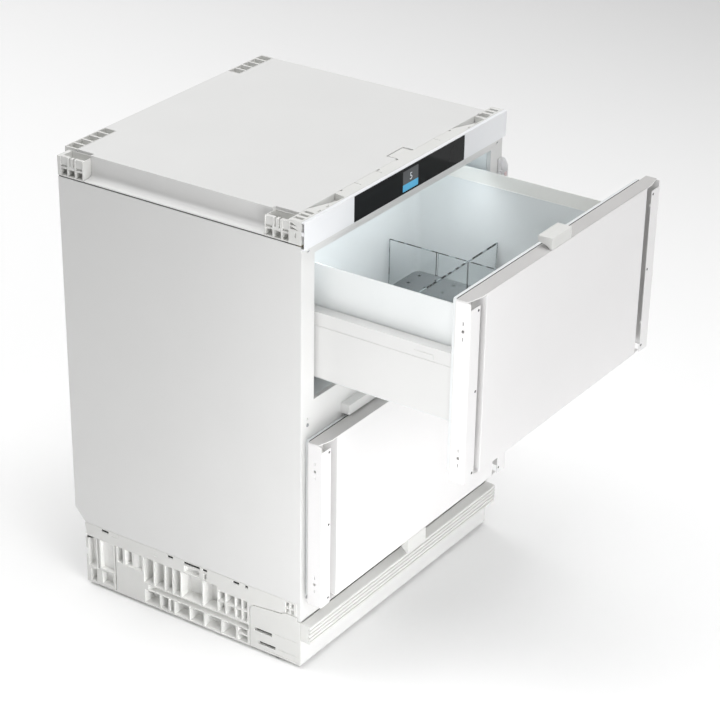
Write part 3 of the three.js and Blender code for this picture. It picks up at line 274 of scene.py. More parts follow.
def painted_edge_glints():
    """Cut top edge of a clear sheet, drawn opaque: grey-green dashes of painted highlight with near-black
    gaps of painted shade.
    """
    material, tree, shader, place = start_material("painted_edge_glints", "#8F999A", 0.15, IOR=1.57)
    painted_glints = speckle(tree, place, 15, detail=0.0)
    ramp = add_node(tree, "ShaderNodeValToRGB", links={"Fac": (painted_glints, "Fac")})
    ramp.color_ramp.elements[0].position = 0.50
    ramp.color_ramp.elements[0].color = linear("#1C1F21")
    ramp.color_ramp.elements[1].position = 0.56
    ramp.color_ramp.elements[1].color = linear("#A5AEB0")
    tree.links.new(ramp.outputs["Color"], shader.inputs["Base Color"])
    return material


def warm_upper_band():
    """Upper band of a bin's inner walls: warmer and a little paler than the wall below."""
    material, tree, shader, place = start_material("warm_upper_band", "#F8F7F3", 0.4, IOR=1.59)
    tint_and_grain(tree, shader, place, ("#FAF9F5", "#F5F4EF"), 60, 4.0, 0.015, (0.36, 0.46))
    return material


def seal_gap_shade():
    """Dark grey painted shade on a seal's half nearer the door: it stands in for the shadow gap, the thin
    dark line behind a drawer front.
    """
    material, tree, shader, place = start_material("seal_gap_painted_shade", "#3A3A3B", 0.6, IOR=1.53)
    tint_and_grain(tree, shader, place, ("#3E3E3F", "#353536"), 12, 0.8, 0.020, (0.52, 0.66))
    return material


def warm_grey_abs():
    """Warm grey ABS end profile on the head of each front, a shade darker than the painted steel."""
    material, tree, shader, place = start_material("warm_grey_abs", "#C6C5C4", 0.5, IOR=1.53)
    tint_and_grain(tree, shader, place, ("#C9C8C7", "#C2C0BF"), 60, 1.0, 0.015, (0.45, 0.56))
    return material


def bracket_nylon_painted_light():
    """White nylon of the fixing bracket, its colour paler than the other mouldings as painted light against
    its shade; light also bleeds a few millimetres through it.
    """
    material, tree, shader, place = start_material(
        "bracket_nylon_painted_light", "#F3F3F5", 0.45, IOR=1.53, Subsurface_Weight=0.6, Subsurface_Scale=8 * MM,
        Subsurface_Radius=(1, 1, 1))
    tint_and_grain(tree, shader, place, ("#F5F5F7", "#EDEDF0"), 10, 0.7, 0.010, (0.4, 0.5))
    return material


def stud_painted_shade():
    """Near-black matt material of the studs in the mat's holes, painted shade: no gloss at all, so the dots
    stay dark at a low angle.
    """
    material, tree, shader, place = start_material("stud_painted_shade", "#121313", 0.95, Specular_IOR_Level=0.05)
    tint_and_grain(tree, shader, place, ("#141515", "#0E0F0F"), 3, 0.5, 0.020, (0.9, 1.0))
    return material


def slot_painted_shade():
    """Dark grey matt sheet of painted shade inside the slots of the base: it keeps them dark."""
    material, tree, shader, place = start_material("slot_painted_shade", "#3F3F3F", 1.0, Specular_IOR_Level=0.1)
    tint_and_grain(tree, shader, place, ("#484848", "#343434"), 2, 0.3, 0.080, (0.95, 1.0))
    return material


def pink_acetal():
    """Pinkish acetal of the bracket's small clip."""
    material, tree, shader, place = start_material("pink_acetal", "#DCC9CA", 0.4, IOR=1.48)
    tint_and_grain(tree, shader, place, ("#E0CDCE", "#D3BEC0"), 4, 0.6, 0.010, (0.35, 0.48))
    return material


def seam_painted_shade():
    """Dark grey matt band in the seam between the side panels and the head: painted shade that makes the seam
    read as one dark line.
    """
    material, tree, shader, place = start_material("seam_painted_shade", "#4B4C4C", 0.9, IOR=1.5)
    tint_and_grain(tree, shader, place, ("#505151", "#454646"), 8, 0.6, 0.02, (0.85, 0.95))
    return material


def screw_steel():
    """Small plated screws: grey metal, worn unevenly at the head."""
    material, tree, shader, place = start_material("screw_steel", "#A9ABAD", 0.4, metallic=1.0)
    tint_and_grain(tree, shader, place, ("#B4B6B8", "#8F9193"), 1.5, 0.3, 0.01, (0.3, 0.5))
    return material


BASE_POLYPROPYLENE = filled_polypropylene("filled_polypropylene", ("#E3E3E1", "#DEDEDB"))
# paler copy for the pockets: painted light, standing in for light that fills them
POCKET_PAINTED_LIGHT = filled_polypropylene("pocket_painted_light", ("#FAFAF8", "#F6F6F4"))
OPAL_ACRYLIC = lit("opal_acrylic", "#EAF7FF", 2.0, 0.4, 30)  # glow over the upper bin
DISPLAY_GREY = lit("display_film_grey", "#47484A", 0.45, 0.25, 1.2)  # unlit field of the display
DISPLAY_BLUE = lit("display_film_blue", "#4C9DC3", 0.42, 0.25, 1.2)  # bar under the set point
DISPLAY_WHITE = lit("display_film_white", "#B4B9BC", 0.5, 0.25, 1.2)  # the digit
# painted highlights and shade on the divider's cut edges
PAINTED_EDGE_GLINTS = painted_edge_glints()
# painted shade in the seam under the head
SEAM_PAINTED_SHADE = seam_painted_shade()
# painted shade of the gap between a drawer front and its seal
SEAL_GAP_SHADE = seal_gap_shade()
WARM_UPPER_BAND = warm_upper_band()
# paler white for the bracket: partly painted light, lifting it out of its shade
BRACKET_NYLON_PAINTED_LIGHT = bracket_nylon_painted_light()
PINK_ACETAL = pink_acetal()
# painted shade for the mat's holes
STUD_PAINTED_SHADE = stud_painted_shade()
# painted shade inside the slots of the base
SLOT_PAINTED_SHADE = slot_painted_shade()
# paler copy of the cabinet's powder coat for the fronts: painted light, as the fronts are lit more than the
# sides
FRONT_POWDER_PAINTED_LIGHT = powder_coated_steel("powder_coated_front_painted_light", ("#EEEDED", "#EAE9E9"))
WARM_GREY_ABS = warm_grey_abs()
SCREW_STEEL = screw_steel()

# ---- Making pieces ----------------------------------------------------------------------------

SMOOTH_BELOW = math.radians(40)
FLAT_WITHIN = math.radians(0.5)
MERGE_WITHIN = 1e-6  # metres
TO_THE_FRONT = Matrix.Rotation(math.pi / 2, 4, "X")  # turns a shape's top to face the front
KEPT_IN_TRIANGLES = ("fan_shroud", "upper_door_panel", "lower_door_panel", "upper_bin", "lower_bin",
                     "rear_left_corner_block", "rear_right_corner_block", "front_top_moulding", "top_cover")


def finish_piece(bm, name, body, slot, material=None, replaces=()):
    """Turns a bmesh into a piece that rides on its body, with flat faces kept flat beside their rounds."""
    for edge in bm.edges:
        edge.smooth = len(edge.link_faces) == 2 and edge.calc_face_angle(0) < SMOOTH_BELOW
    for face in bm.faces:
        face.smooth = True
    mesh = bpy.data.meshes.new(name)
    bm.to_mesh(mesh)
    bm.free()
    piece = bpy.data.objects.new(name, mesh)
    bpy.context.scene.collection.objects.link(piece)
    piece.data.materials.append(material or MATERIALS[slot])
    weighting = piece.modifiers.new("even_shading", "WEIGHTED_NORMAL")
    weighting.keep_sharp = True
    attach(piece, body)
    if replaces:
        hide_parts(*replaces)
    return piece


def round_edges(bm, width, segments=2, sharper_than=30, scale=MM):
    """Rounds every edge that turns by more than an angle."""
    edges = [e for e in bm.edges if e.is_manifold and e.calc_face_angle(0) > math.radians(sharper_than)]
    bmesh.ops.bevel(bm, geom=edges, offset=width * scale, offset_type="OFFSET", affect="EDGES",
                    segments=segments, profile=0.5, material=-1, clamp_overlap=False)


def merged_copy(node):
    """A bmesh copy of a node with its doubles merged, and its flat areas made whole where they fill well."""
    bm = bmesh.new()
    bm.from_mesh(frame["nodes"][node].data)
    bmesh.ops.remove_doubles(bm, verts=bm.verts, dist=MERGE_WITHIN)
    if node not in KEPT_IN_TRIANGLES:
        bmesh.ops.dissolve_limit(bm, angle_limit=FLAT_WITHIN, verts=bm.verts, edges=bm.edges)
    return bm


def rounded_node(node, width, segments=2, material=None):
    """The node's own shape with its edges rounded, in place of the node."""
    bm = merged_copy(node)
    round_edges(bm, width, segments)
    return finish_piece(bm, f"{node}_finished", BODY_OF[node], SLOT_OF[node], material, [node])


def paint_seal_gap_shade(seal):
    """Paints shade on the half of a seal that is nearer the door: it gets the dark material of the shadow
    gap.
    """
    seal.data.materials.append(SEAL_GAP_SHADE)
    depths = [vert.co.y for vert in seal.data.vertices]
    middle = min(depths) + SEAL_SHADE_DEPTH * MM
    for face in seal.data.polygons:
        face.material_index = int(face.center.y < middle)


def paint_light_into_pockets(base):
    """Paints light into the base tray's pockets: everything behind its outer faces gets a paler copy of its
    material, standing in for light that fills them.
    """
    base.data.materials.append(POCKET_PAINTED_LIGHT)
    for face in base.data.polygons:
        face.material_index = int(abs(face.center.x) < BASE_OUTER_X * MM)


def banded_bin(level, rim_from):
    """A bin whose inner walls are warmer in their upper band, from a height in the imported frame."""
    name = f"{level}_bin"
    bm = merged_copy(name)
    everything = bm.verts[:] + bm.edges[:] + bm.faces[:]
    bmesh.ops.bisect_plane(bm, geom=everything, dist=CUT_TOLERANCE * MM,
                           plane_co=(0, 0, rim_from * MM), plane_no=(0, 0, 1))
    round_edges(bm, 0.6)
    piece = finish_piece(bm, f"{name}_finished", BODY_OF[name], SLOT_OF[name], None, [name])
    piece.data.materials.append(WARM_UPPER_BAND)
    depths = [vert.co.y for vert in piece.data.vertices]
    middle = Vector((0, (min(depths) + max(depths)) / 2, 0))
    for face in piece.data.polygons:
        outward = (face.center - middle) * Vector((1, 1, 0))
        faces_in = face.normal.dot(outward) < -0.01  # a little under zero leaves the level faces out
        face.material_index = int(face.center.z > rim_from * MM and faces_in)


ROUNDED = {
    "left_side_panel": 0.5, "right_side_panel": 0.5, "back_panel": 0.4, "top_cover": 0.8,
    "rear_left_corner_block": 0.4, "rear_right_corner_block": 0.4, "front_top_moulding": 0.4,
    "control_fascia": 0.5, "touch_glass": 0.4, "front_frame": 0.5,
    "left_base_cover": 0.3, "right_base_cover": 0.3, "louvre_grille": 0.35,
    "plinth_panel": 0.5, "rear_cover": 0.3, "power_inlet": 0.2,
    "compressor": 0.8, "condenser": 0.1, "fan_shroud": 0.4, "fan_rotor": 0.2,
}
for piece_node, edge_width in ROUNDED.items():
    rounded_node(piece_node, edge_width)
# the pockets of the base tray get painted light
paint_light_into_pockets(rounded_node("base_moulding", 0.35, material=BASE_POLYPROPYLENE))
# the bracket's paler nylon is partly painted light
rounded_node("fixing_bracket", 0.3, material=BRACKET_NYLON_PAINTED_LIGHT)
for end in ("front", "rear"):
    for side in ("left", "right"):
        rounded_node(f"{end}_{side}_foot", 0.5)
for level in ("upper", "lower"):
    # fronts and rails get the paler powder coat, painted light
    rounded_node(f"{level}_door_panel", 0.6, material=FRONT_POWDER_PAINTED_LIGHT)
    rounded_node(f"{level}_door_inner_plate", 0.3)
    # each seal's half nearer the door is painted dark as shade
    paint_seal_gap_shade(rounded_node(f"{level}_door_gasket", 1.0, 3))
    for side in ("left", "right"):
        rounded_node(f"{level}_{side}_mount_rail", 0.25, material=FRONT_POWDER_PAINTED_LIGHT)
        rounded_node(f"{level}_{side}_side_profile", 0.3)
        rounded_node(f"{level}_{side}_fixed_rail", 0.4)
        rounded_node(f"{level}_{side}_middle_rail", 0.4)
banded_bin("upper", BIN_BAND_Z)
banded_bin("lower", BIN_BAND_Z - DRAWER_PITCH)
rounded_node("upper_door_hook", 0.5)
rounded_node("lower_door_tab", 0.5)
rounded_node("bottle_divider", 0.2)
rounded_node("light_cover", 0.5, material=OPAL_ACRYLIC)

# ---- Pieces of their own ----------------------------------------------------------------------

def points_of(made):
    """The vertices among the geometry that an operator made."""
    return [part for part in made["geom"] if isinstance(part, bmesh.types.BMVert)]


def fill_box(bm, x, y, z, shift_y=0.0):
    """Adds a box between three pairs of the cabinet's coordinates."""
    made = bmesh.ops.create_cube(bm, size=1)
    low, high = at(x[0], y[0] + shift_y, z[0]), at(x[1], y[1] + shift_y, z[1])
    for vert in made["verts"]:
        vert.co = Vector(low[i] + (vert.co[i] + 0.5) * (high[i] - low[i]) for i in range(3))


def short_rod(bm, radius, length, place):
    """Adds a closed round rod, centred on its place."""
    bmesh.ops.create_cone(bm, cap_ends=True, segments=20, radius1=radius * MM, radius2=radius * MM,
                          depth=length * MM, matrix=place)


def drawn_out(outline, travel):
    """A bmesh of a flat outline drawn out along a vector, with both ends closed."""
    bm = bmesh.new()
    face = bm.faces.new([bm.verts.new(point) for point in outline])
    far_end = bmesh.ops.extrude_face_region(bm, geom=[face])
    bmesh.ops.translate(bm, verts=points_of(far_end), vec=travel)
    bmesh.ops.recalc_face_normals(bm, faces=bm.faces)
    return bm


def on_side(span, side):
    """A span of x on the right, or the same one mirrored to the left."""
    return sorted((side * span[0], side * span[1]))


GLASS_FACE_Y = -235.1
DISPLAY_X = (-24, 21)
DISPLAY_Z = (777.5, 813)
BLUE_TOP_Z = 789.5
FILM = 0.12  # how far the lit layers stand in front of the glass
FILM_CORNER = 0.8
DIGIT_HEIGHT = 12
DIGIT_PLACE = (-0.5, 799)  # x and z of its middle
CAPITAL_SHARE = 0.7  # height of a capital as a share of the font's size


def film(name, x, z, lift, material):
    """A thin lit rectangle with rounded corners, just in front of the glass."""
    bm = bmesh.new()
    fill_box(bm, x, (GLASS_FACE_Y - lift, GLASS_FACE_Y), z)
    through = [e for e in bm.edges if abs(e.verts[0].co.y - e.verts[1].co.y) > lift * MM / 2]
    bmesh.ops.bevel(bm, geom=through, offset=FILM_CORNER * MM, offset_type="OFFSET", affect="EDGES",
                    segments=3, profile=0.5, material=-1)
    return finish_piece(bm, name, "cabinet", "black_glass", material)


def display_digit(text):
    """The plain set-point digit."""
    curve = bpy.data.curves.new("digit_outline", "FONT")
    curve.body = text
    curve.size = DIGIT_HEIGHT / CAPITAL_SHARE * MM
    curve.extrude = FILM * MM / 2
    curve.align_x = "CENTER"
    curve.align_y = "CENTER"
    letter = bpy.data.objects.new("digit_outline", curve)
    mesh = bpy.data.meshes.new_from_object(letter)
    bm = bmesh.new()
    bm.from_mesh(mesh)
    bpy.data.objects.remove(letter)
    bmesh.ops.remove_doubles(bm, verts=bm.verts, dist=MERGE_WITHIN / 10)
    centre = at(DIGIT_PLACE[0], GLASS_FACE_Y - 2 * FILM, DIGIT_PLACE[1])
    bmesh.ops.transform(bm, verts=bm.verts, matrix=Matrix.Translation(centre) @ TO_THE_FRONT)
    return finish_piece(bm, "display_digit", "cabinet", "black_glass", DISPLAY_WHITE)


MAT_HALF_X = 214.0
MAT_Y = (-232.0, 152.0)
MAT_Z = (517.3, 520.8)
MAT_HOLES = (12, 11)
MAT_CELL = (2 * MAT_HALF_X / MAT_HOLES[0], (MAT_Y[1] - MAT_Y[0]) / MAT_HOLES[1])
MAT_HOLE_RADIUS = 3.2
MAT_CORNER = 14.0
STUD_CLEARANCE = 0.2  # round a stud in its hole
STUD_RECESS = (0.15, 0.35)  # over the mat's underside and under its top


def round_corner(point, x, y, radius):
    """Draws a point in to the rounded corner of a rectangle."""
    for corner_x, sign_x in ((x[0] + radius, -1), (x[1] - radius, 1)):
        for corner_y, sign_y in ((y[0] + radius, -1), (y[1] - radius, 1)):
            away = Vector(((point.x - corner_x) * sign_x, (point.y - corner_y) * sign_y))
            if away.x > 0 and away.y > 0 and away.length > radius:
                away *= radius / away.length
                point.x = corner_x + away.x * sign_x
                point.y = corner_y + away.y * sign_y


def perforated_mat():
    """The bin mat with round holes: one holed cell, repeated, with the outer corners drawn in."""
    bm = bmesh.new()
    bmesh.ops.create_circle(bm, cap_ends=False, segments=32, radius=MAT_HOLE_RADIUS)
    outer = bmesh.ops.extrude_edge_only(bm, edges=bm.edges[:])
    for vert in points_of(outer):
        reach = max(abs(vert.co.x), abs(vert.co.y))
        vert.co = (vert.co.x / reach * MAT_CELL[0] / 2, vert.co.y / reach * MAT_CELL[1] / 2, 0)
    one_cell = bm.verts[:] + bm.edges[:] + bm.faces[:]
    for column in range(MAT_HOLES[0]):
        for row in range(MAT_HOLES[1]):
            if column or row:
                copy = bmesh.ops.duplicate(bm, geom=one_cell)
                step = (column * MAT_CELL[0], row * MAT_CELL[1], 0)
                bmesh.ops.translate(bm, verts=points_of(copy), vec=step)
    bmesh.ops.remove_doubles(bm, verts=bm.verts, dist=0.01)
    first_cell = (MAT_CELL[0] / 2 - MAT_HALF_X, MAT_CELL[1] / 2 + MAT_Y[0], MAT_Z[1])
    bmesh.ops.translate(bm, verts=bm.verts, vec=first_cell)
    for vert in bm.verts:
        round_corner(vert.co, (-MAT_HALF_X, MAT_HALF_X), MAT_Y, MAT_CORNER)
    under = bmesh.ops.extrude_face_region(bm, geom=bm.faces[:])
    bmesh.ops.translate(bm, verts=points_of(under), vec=(0, 0, MAT_Z[0] - MAT_Z[1]))
    bmesh.ops.recalc_face_normals(bm, faces=bm.faces)
    round_edges(bm, 0.35, 2, 60, scale=1)
    for vert in bm.verts:
        vert.co = at(vert.co.x, vert.co.y - UPPER_OPEN, vert.co.z)
    return finish_piece(bm, "bin_mat_finished", "upper_drawer", "grey_mat", None, ["bin_mat"])


def mat_shade_studs():
    """Dark studs in the mat's holes: painted shade, standing in for the shade inside the holes."""
    bm = bmesh.new()
    foot, top = MAT_Z[0] + STUD_RECESS[0], MAT_Z[1] - STUD_RECESS[1]
    for column in range(MAT_HOLES[0]):
        for row in range(MAT_HOLES[1]):
            x = (column + 0.5) * MAT_CELL[0] - MAT_HALF_X
            y = (row + 0.5) * MAT_CELL[1] + MAT_Y[0] - UPPER_OPEN
            centre = at(x, y, (foot + top) / 2)
            short_rod(bm, MAT_HOLE_RADIUS - STUD_CLEARANCE, top - foot, Matrix.Translation(centre))
    round_edges(bm, 0.25)
    return finish_piece(bm, "mat_shade_studs", "upper_drawer", "dark_plastic", STUD_PAINTED_SHADE)


DIVIDER_X = 131.0  # middle of the long sheet
DIVIDER_Y = -2.0  # middle of the cross sheet
DIVIDER_TOP = 608.0
EDGE_HALF_WIDTH = 1.1
EDGE_RISE = 0.35  # how far the top edges stand over the sheets
LONG_EDGE_Y = (-149, 156)
LONG_EDGE_DEPTH = 0.6
REAR_EDGE_Y = (156.2, 157.2)
REAR_EDGE_FOOT = 530
CROSS_EDGE_HALF_X = 226.5
CROSS_EDGE_DEPTH = 1.8
CROSS_EDGE_GAP = 3  # on each side of the long sheet


def divider_edges():
    """The cut edges of the divider's two sheets: both tops, and the rear end of the long one."""
    bm = bmesh.new()
    top = DIVIDER_TOP + EDGE_RISE
    long_x = (DIVIDER_X - EDGE_HALF_WIDTH, DIVIDER_X + EDGE_HALF_WIDTH)
    cross_y = (DIVIDER_Y - EDGE_HALF_WIDTH, DIVIDER_Y + EDGE_HALF_WIDTH)
    left_x = (-CROSS_EDGE_HALF_X, DIVIDER_X - CROSS_EDGE_GAP)
    right_x = (DIVIDER_X + CROSS_EDGE_GAP, CROSS_EDGE_HALF_X)
    fill_box(bm, long_x, LONG_EDGE_Y, (DIVIDER_TOP - LONG_EDGE_DEPTH, top), -UPPER_OPEN)
    fill_box(bm, long_x, REAR_EDGE_Y, (REAR_EDGE_FOOT, DIVIDER_TOP), -UPPER_OPEN)
    for x in (left_x, right_x):
        fill_box(bm, x, cross_y, (DIVIDER_TOP - CROSS_EDGE_DEPTH, top), -UPPER_OPEN)
    round_edges(bm, 0.1)
    # the edges carry painted highlights and shade
    return finish_piece(bm, "divider_edges", "upper_drawer", "clear_plastic", PAINTED_EDGE_GLINTS)


SEAM_SHADE_X = (297.1, 297.9)
SEAM_SHADE_Y = (-220, 262)
SEAM_SHADE_Z = (778.5, 780.2)


def head_seam_shades():
    """Dark band in the seam between each side panel and the head: painted shade of the gap."""
    bm = bmesh.new()
    for side in (-1, 1):
        fill_box(bm, on_side(SEAM_SHADE_X, side), SEAM_SHADE_Y, SEAM_SHADE_Z)
    round_edges(bm, 0.2)
    return finish_piece(bm, "head_seam_shades", "cabinet", "gasket_rubber", SEAM_PAINTED_SHADE)


FRAME_FACE_Y = -228.7
SCREW_X = 280
SCREW_HEIGHTS = (767.2, 459, 130.5)
SCREW_RADIUS = 3.2
SCREW_DOME = 0.55  # height of a head as a share of its radius
DISH_RADIUS = 0.4 * SCREW_RADIUS
DISH_DEPTH = 0.3 * SCREW_RADIUS


def frame_screws():
    """Low domed screw heads, dished at the middle, on the face of the front frame."""
    bm = bmesh.new()
    for x in (-SCREW_X, SCREW_X):
        for z in SCREW_HEIGHTS:
            head = bmesh.new()
            bmesh.ops.create_uvsphere(head, u_segments=20, v_segments=12, radius=SCREW_RADIUS)
            bmesh.ops.scale(head, verts=head.verts, vec=(1, 1, SCREW_DOME))
            under = [v for v in head.verts if v.co.z < -0.01 * SCREW_RADIUS]
            bmesh.ops.delete(head, geom=under, context="VERTS")
            bmesh.ops.edgeloop_fill(head, edges=[e for e in head.edges if e.is_boundary])
            dish = [v for v in head.verts if v.co.xy.length < DISH_RADIUS and v.co.z > 0]
            bmesh.ops.translate(head, verts=dish, vec=(0, 0, -DISH_DEPTH))
            place = Matrix.Translation(at(x, FRAME_FACE_Y, z)) @ TO_THE_FRONT @ Matrix.Scale(MM, 4)
            bmesh.ops.transform(head, verts=head.verts, matrix=place)
            mesh = bpy.data.meshes.new("screw_head")
            head.to_mesh(mesh)
            head.free()
            bm.from_mesh(mesh)
            bpy.data.meshes.remove(mesh)
    return finish_piece(bm, "frame_screws", "cabinet", "zinc_steel", SCREW_STEEL)


HEAD_TRIM_HALF_X = 284.0
HEAD_TRIM_SECTION = ((0, 773.3), (2.6, 772.6), (2.9, 770.4), (1.9, 769.8), (1.9, 767.6),
                     (0.8, 766.8), (0.5, 764.6), (0, 764.2))  # how far it stands out, and its height


def frame_head_trim():
    """Stepped lip along the head of the upper opening, above the line where the seal lands."""
    left_end = [at(-HEAD_TRIM_HALF_X, FRAME_FACE_Y - out, z) for out, z in HEAD_TRIM_SECTION]
    bm = drawn_out(left_end, (2 * HEAD_TRIM_HALF_X * MM, 0, 0))
    round_edges(bm, 0.15)
    return finish_piece(bm, "frame_head_trim", "cabinet", "white_steel")


CLIP_PLATE = ((286.6, 293.6), (-243.4, -242.6), (700.5, 711.5))
CLIP_BOSS = ((288.4, 291.8), (-243.7, -243.3), (702.5, 709.5))


def bracket_clip():
    """The small clip on the fixing bracket, with a raised middle."""
    bm = bmesh.new()
    fill_box(bm, *CLIP_PLATE)
    fill_box(bm, *CLIP_BOSS)
    round_edges(bm, 0.12)
    return finish_piece(bm, "bracket_clip", "cabinet", "white_plastic", PINK_ACETAL)


COVER_SLOTS = (((-169, -132), (36.5, 42.5)), ((-176, -140), (12, 18)))  # each as y and z spans
COVER_SHADE_X = (292.6, 293.8)
BAND_SLOTS = ((189, 206), (44, 56), (-15, 20), (-31, -21), (-100, -87), (-119, -112))  # y spans
BAND_SLOT_Z = (115, 120)
BAND_SHADE_X = (295.6, 296.8)
SHADE_INSET = 0.3  # from the edges of a slot


def slot_shade_sheets():
    """Dark sheets a few millimetres inside the slots of the base and its covers: painted shade for the slots.
    """
    bm = bmesh.new()
    shade_sheets = [(COVER_SHADE_X, y, z) for y, z in COVER_SLOTS]
    shade_sheets += [(BAND_SHADE_X, y, BAND_SLOT_Z) for y in BAND_SLOTS]
    for side in (-1, 1):
        for x, y, z in shade_sheets:
            fill_box(bm, on_side(x, side), (y[0] + SHADE_INSET, y[1] - SHADE_INSET),
                     (z[0] + SHADE_INSET, z[1] - SHADE_INSET))
    round_edges(bm, 0.2)
    return finish_piece(bm, "slot_shade_sheets", "cabinet", "dark_plastic", SLOT_PAINTED_SHADE)


CAP_HALF_X = 294.6
CAP_Y = (DOOR_FRONT_Y + 0.4, DOOR_FRONT_Y + 26.4)
CAP_SLANT = (30, 6.6)  # of each front corner, along x and y
CAP_UNDERSIDE = 766.82
CAP_THICKNESS = 0.22


def door_head_cap(name, body, shift_y, shift_z):
    """Thin end profile on the head flange of a front, with its slanted front corners."""
    front, rear = CAP_Y
    shoulder = CAP_HALF_X - CAP_SLANT[0]
    plan = ((CAP_HALF_X, rear), (-CAP_HALF_X, rear), (-CAP_HALF_X, front + CAP_SLANT[1]),
            (-shoulder, front), (shoulder, front), (CAP_HALF_X, front + CAP_SLANT[1]))
    underside = [at(x, y + shift_y, CAP_UNDERSIDE + shift_z) for x, y in plan]
    bm = drawn_out(underside, (0, 0, CAP_THICKNESS * MM))
    round_edges(bm, 0.08)
    return finish_piece(bm, name, body, "white_plastic", WARM_GREY_ABS)


HOLE_SHADE_X = 273.4
HOLE_SHADE_Y = DOOR_FRONT_Y + 0.8
HOLE_SHADE_HEIGHTS = (469.4, 611.5, 747.7)
HOLE_SHADE_RADIUS = 2.6
HOLE_SHADE_LENGTH = 1.2


def strip_hole_shades(name, body, shift_y, shift_z):
    """Dark discs just inside the screw holes of the mount rails: painted shade of the holes."""
    bm = bmesh.new()
    for x in (-HOLE_SHADE_X, HOLE_SHADE_X):
        for z in HOLE_SHADE_HEIGHTS:
            centre = at(x, HOLE_SHADE_Y + shift_y, z + shift_z)
            short_rod(bm, HOLE_SHADE_RADIUS, HOLE_SHADE_LENGTH, Matrix.Translation(centre) @ TO_THE_FRONT)
    round_edges(bm, 0.15)
    return finish_piece(bm, name, body, "dark_plastic")


film("display_field", DISPLAY_X, DISPLAY_Z, FILM, DISPLAY_GREY)
film("display_bar", DISPLAY_X, (DISPLAY_Z[0], BLUE_TOP_Z), 2 * FILM, DISPLAY_BLUE)
display_digit("5")
perforated_mat()
# dark studs painted as shade in the mat's holes
mat_shade_studs()
divider_edges()
# dark bands painted as shade in the head seams
head_seam_shades()
frame_screws()
frame_head_trim()
bracket_clip()
# dark sheets painted as shade in the slots
slot_shade_sheets()
door_head_cap("upper_door_head_cap", "upper_drawer", -UPPER_OPEN, 0)
door_head_cap("lower_door_head_cap", "lower_drawer", 0, -DRAWER_PITCH)
# dark discs painted as shade in the rails' screw holes
strip_hole_shades("upper_strip_hole_shades", "upper_drawer", -UPPER_OPEN, 0)
strip_hole_shades("lower_strip_hole_shades", "lower_drawer", 0, -DRAWER_PITCH)

# CAD nodes that stay as they are and only get their material
for node in ("foam_body", "upper_liner", "lower_liner", "display_module", "evaporator_plate"):
    frame["nodes"][node].data.materials.clear()
    frame["nodes"][node].data.materials.append(MATERIALS[SLOT_OF[node]])

# ---- Studio, in metres and watts --------------------------------------------------------------

PAPER_HALF_SIZE = 30
AIR_GLOW = 0.12  # even light from all round, so that low views have no black horizon


def studio_floor():
    """Seamless white paper under the cabinet."""
    material, tree, shader, place = start_material("studio_paper", "#FFFFFF", 0.9)
    fibres = speckle(tree, place, 3.0)
    relief = add_node(tree, "ShaderNodeBump", links={"Height": (fibres, "Fac")},
                      Strength=1.0, Distance=0.02 * MM)
    tree.links.new(relief.outputs["Normal"], shader.inputs["Normal"])
    bm = bmesh.new()
    bmesh.ops.create_grid(bm, x_segments=8, y_segments=8, size=PAPER_HALF_SIZE)
    mesh = bpy.data.meshes.new("studio_floor")
    bm.to_mesh(mesh)
    bm.free()
    floor = bpy.data.objects.new("studio_floor", mesh)
    floor.data.materials.append(material)
    bpy.context.scene.collection.objects.link(floor)


def soft_light(name, position, aim, size, power, colour="#FFFFFF", spread=180):
    """A rectangular soft lamp that faces its aim and doesn't show in the picture."""
    lamp = bpy.data.lights.new(name, "AREA")
    lamp.shape = "RECTANGLE"
    lamp.spread = math.radians(spread)
    lamp.size, lamp.size_y = size
    lamp.energy = power
    lamp.color = linear(colour)[:3]
    holder = bpy.data.objects.new(name, lamp)
    holder.location = position
    holder.rotation_euler = (Vector(aim) - Vector(position)).to_track_quat("-Z", "Y").to_euler()
    holder.visible_camera = False
    bpy.context.scene.collection.objects.link(holder)


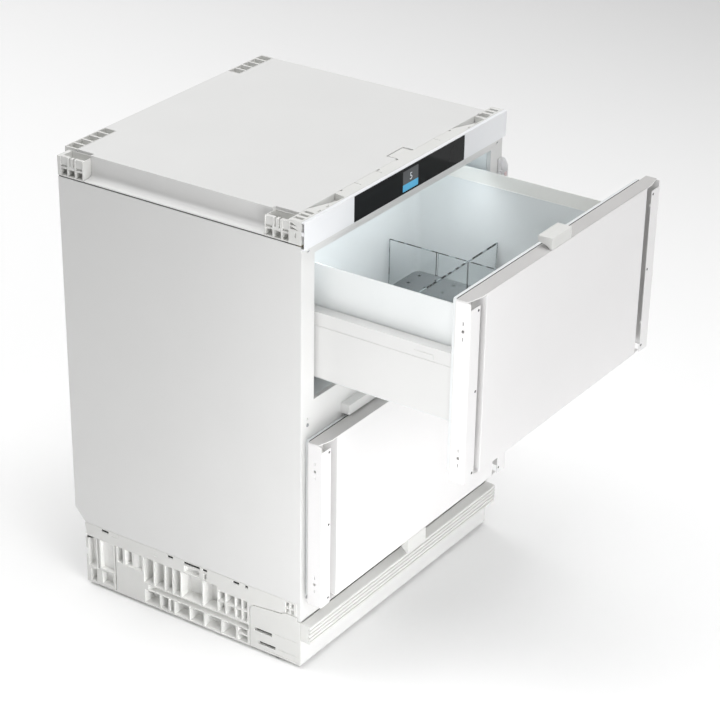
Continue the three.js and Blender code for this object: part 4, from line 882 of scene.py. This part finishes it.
def studio():
    """Two wide banks overhead, weaker ones in front and to the right, and small fills near the cabinet."""
    studio_floor()
    world = bpy.data.worlds.new("studio_air")
    world.use_nodes = True
    world.node_tree.nodes["Background"].inputs["Color"].default_value = linear("#FFFFFF")
    world.node_tree.nodes["Background"].inputs["Strength"].default_value = AIR_GLOW
    bpy.context.scene.world = world
    soft_light("ceiling_bank", (0, 0, 5), (0, 0, 0), (4.4, 4.4), 168)
    soft_light("far_bank", (-0.5, 4.5, 4), (-0.5, 4.5, 0), (7, 4), 180)
    soft_light("front_bank", (-0.9, -3.2, 1.5), (0, 0, 0.4), (1.6, 1.9), 32)
    soft_light("right_bank", (2.4, -1.9, 1.5), (0.3, -0.1, 0.6), (1.2, 1.2), 13)
    soft_light("kick_bank", (-0.6, -1.4, 0.14), (0, -0.1, 0.03), (0.9, 0.16), 0.7, spread=50)
    soft_light("side_strip", (-0.72, -0.52, 0.47), (-0.3, -0.12, 0.42), (0.3, 1.0), 2.7)
    soft_light("drawer_light", at(-140, -216, 742), at(-140, -216, 560), (0.18, 0.03), 0.25, "#FAFDFF", 150)
    soft_light("drawer_fill", at(90, -250, 742), at(90, -180, 560), (0.2, 0.03), 0.13, "#FAFDFF", 150)
    bpy.context.scene.view_settings.view_transform = "Standard"


def photo_camera():
    """The photograph's view: long lens, about 29 degrees above the floor, frame shifted up and left."""
    azimuth, elevation, roll = math.radians(-54.291), math.radians(29.439), math.radians(0.039)
    target = at(-0.06, 0.08, 180.72)
    distance = 4.2132
    focal_px, centre_px, frame_px = 2331.68, (293.50, 465.49), 720
    back = Vector((math.sin(azimuth) * math.cos(elevation),
                   -math.cos(azimuth) * math.cos(elevation),
                   math.sin(elevation)))
    data = bpy.data.cameras.new("photo_camera")
    data.sensor_width = 36
    data.lens = focal_px / frame_px * data.sensor_width
    data.shift_x = (frame_px / 2 - centre_px[0]) / frame_px
    data.shift_y = (centre_px[1] - frame_px / 2) / frame_px
    camera = bpy.data.objects.new("photo_camera", data)
    camera.location = target + back * distance
    turn = (-back).to_track_quat("-Z", "Y").to_matrix()
    camera.rotation_euler = (turn @ Matrix.Rotation(roll, 3, "Z")).to_euler()
    bpy.context.scene.collection.objects.link(camera)
    bpy.context.scene.camera = camera


studio()
photo_camera()
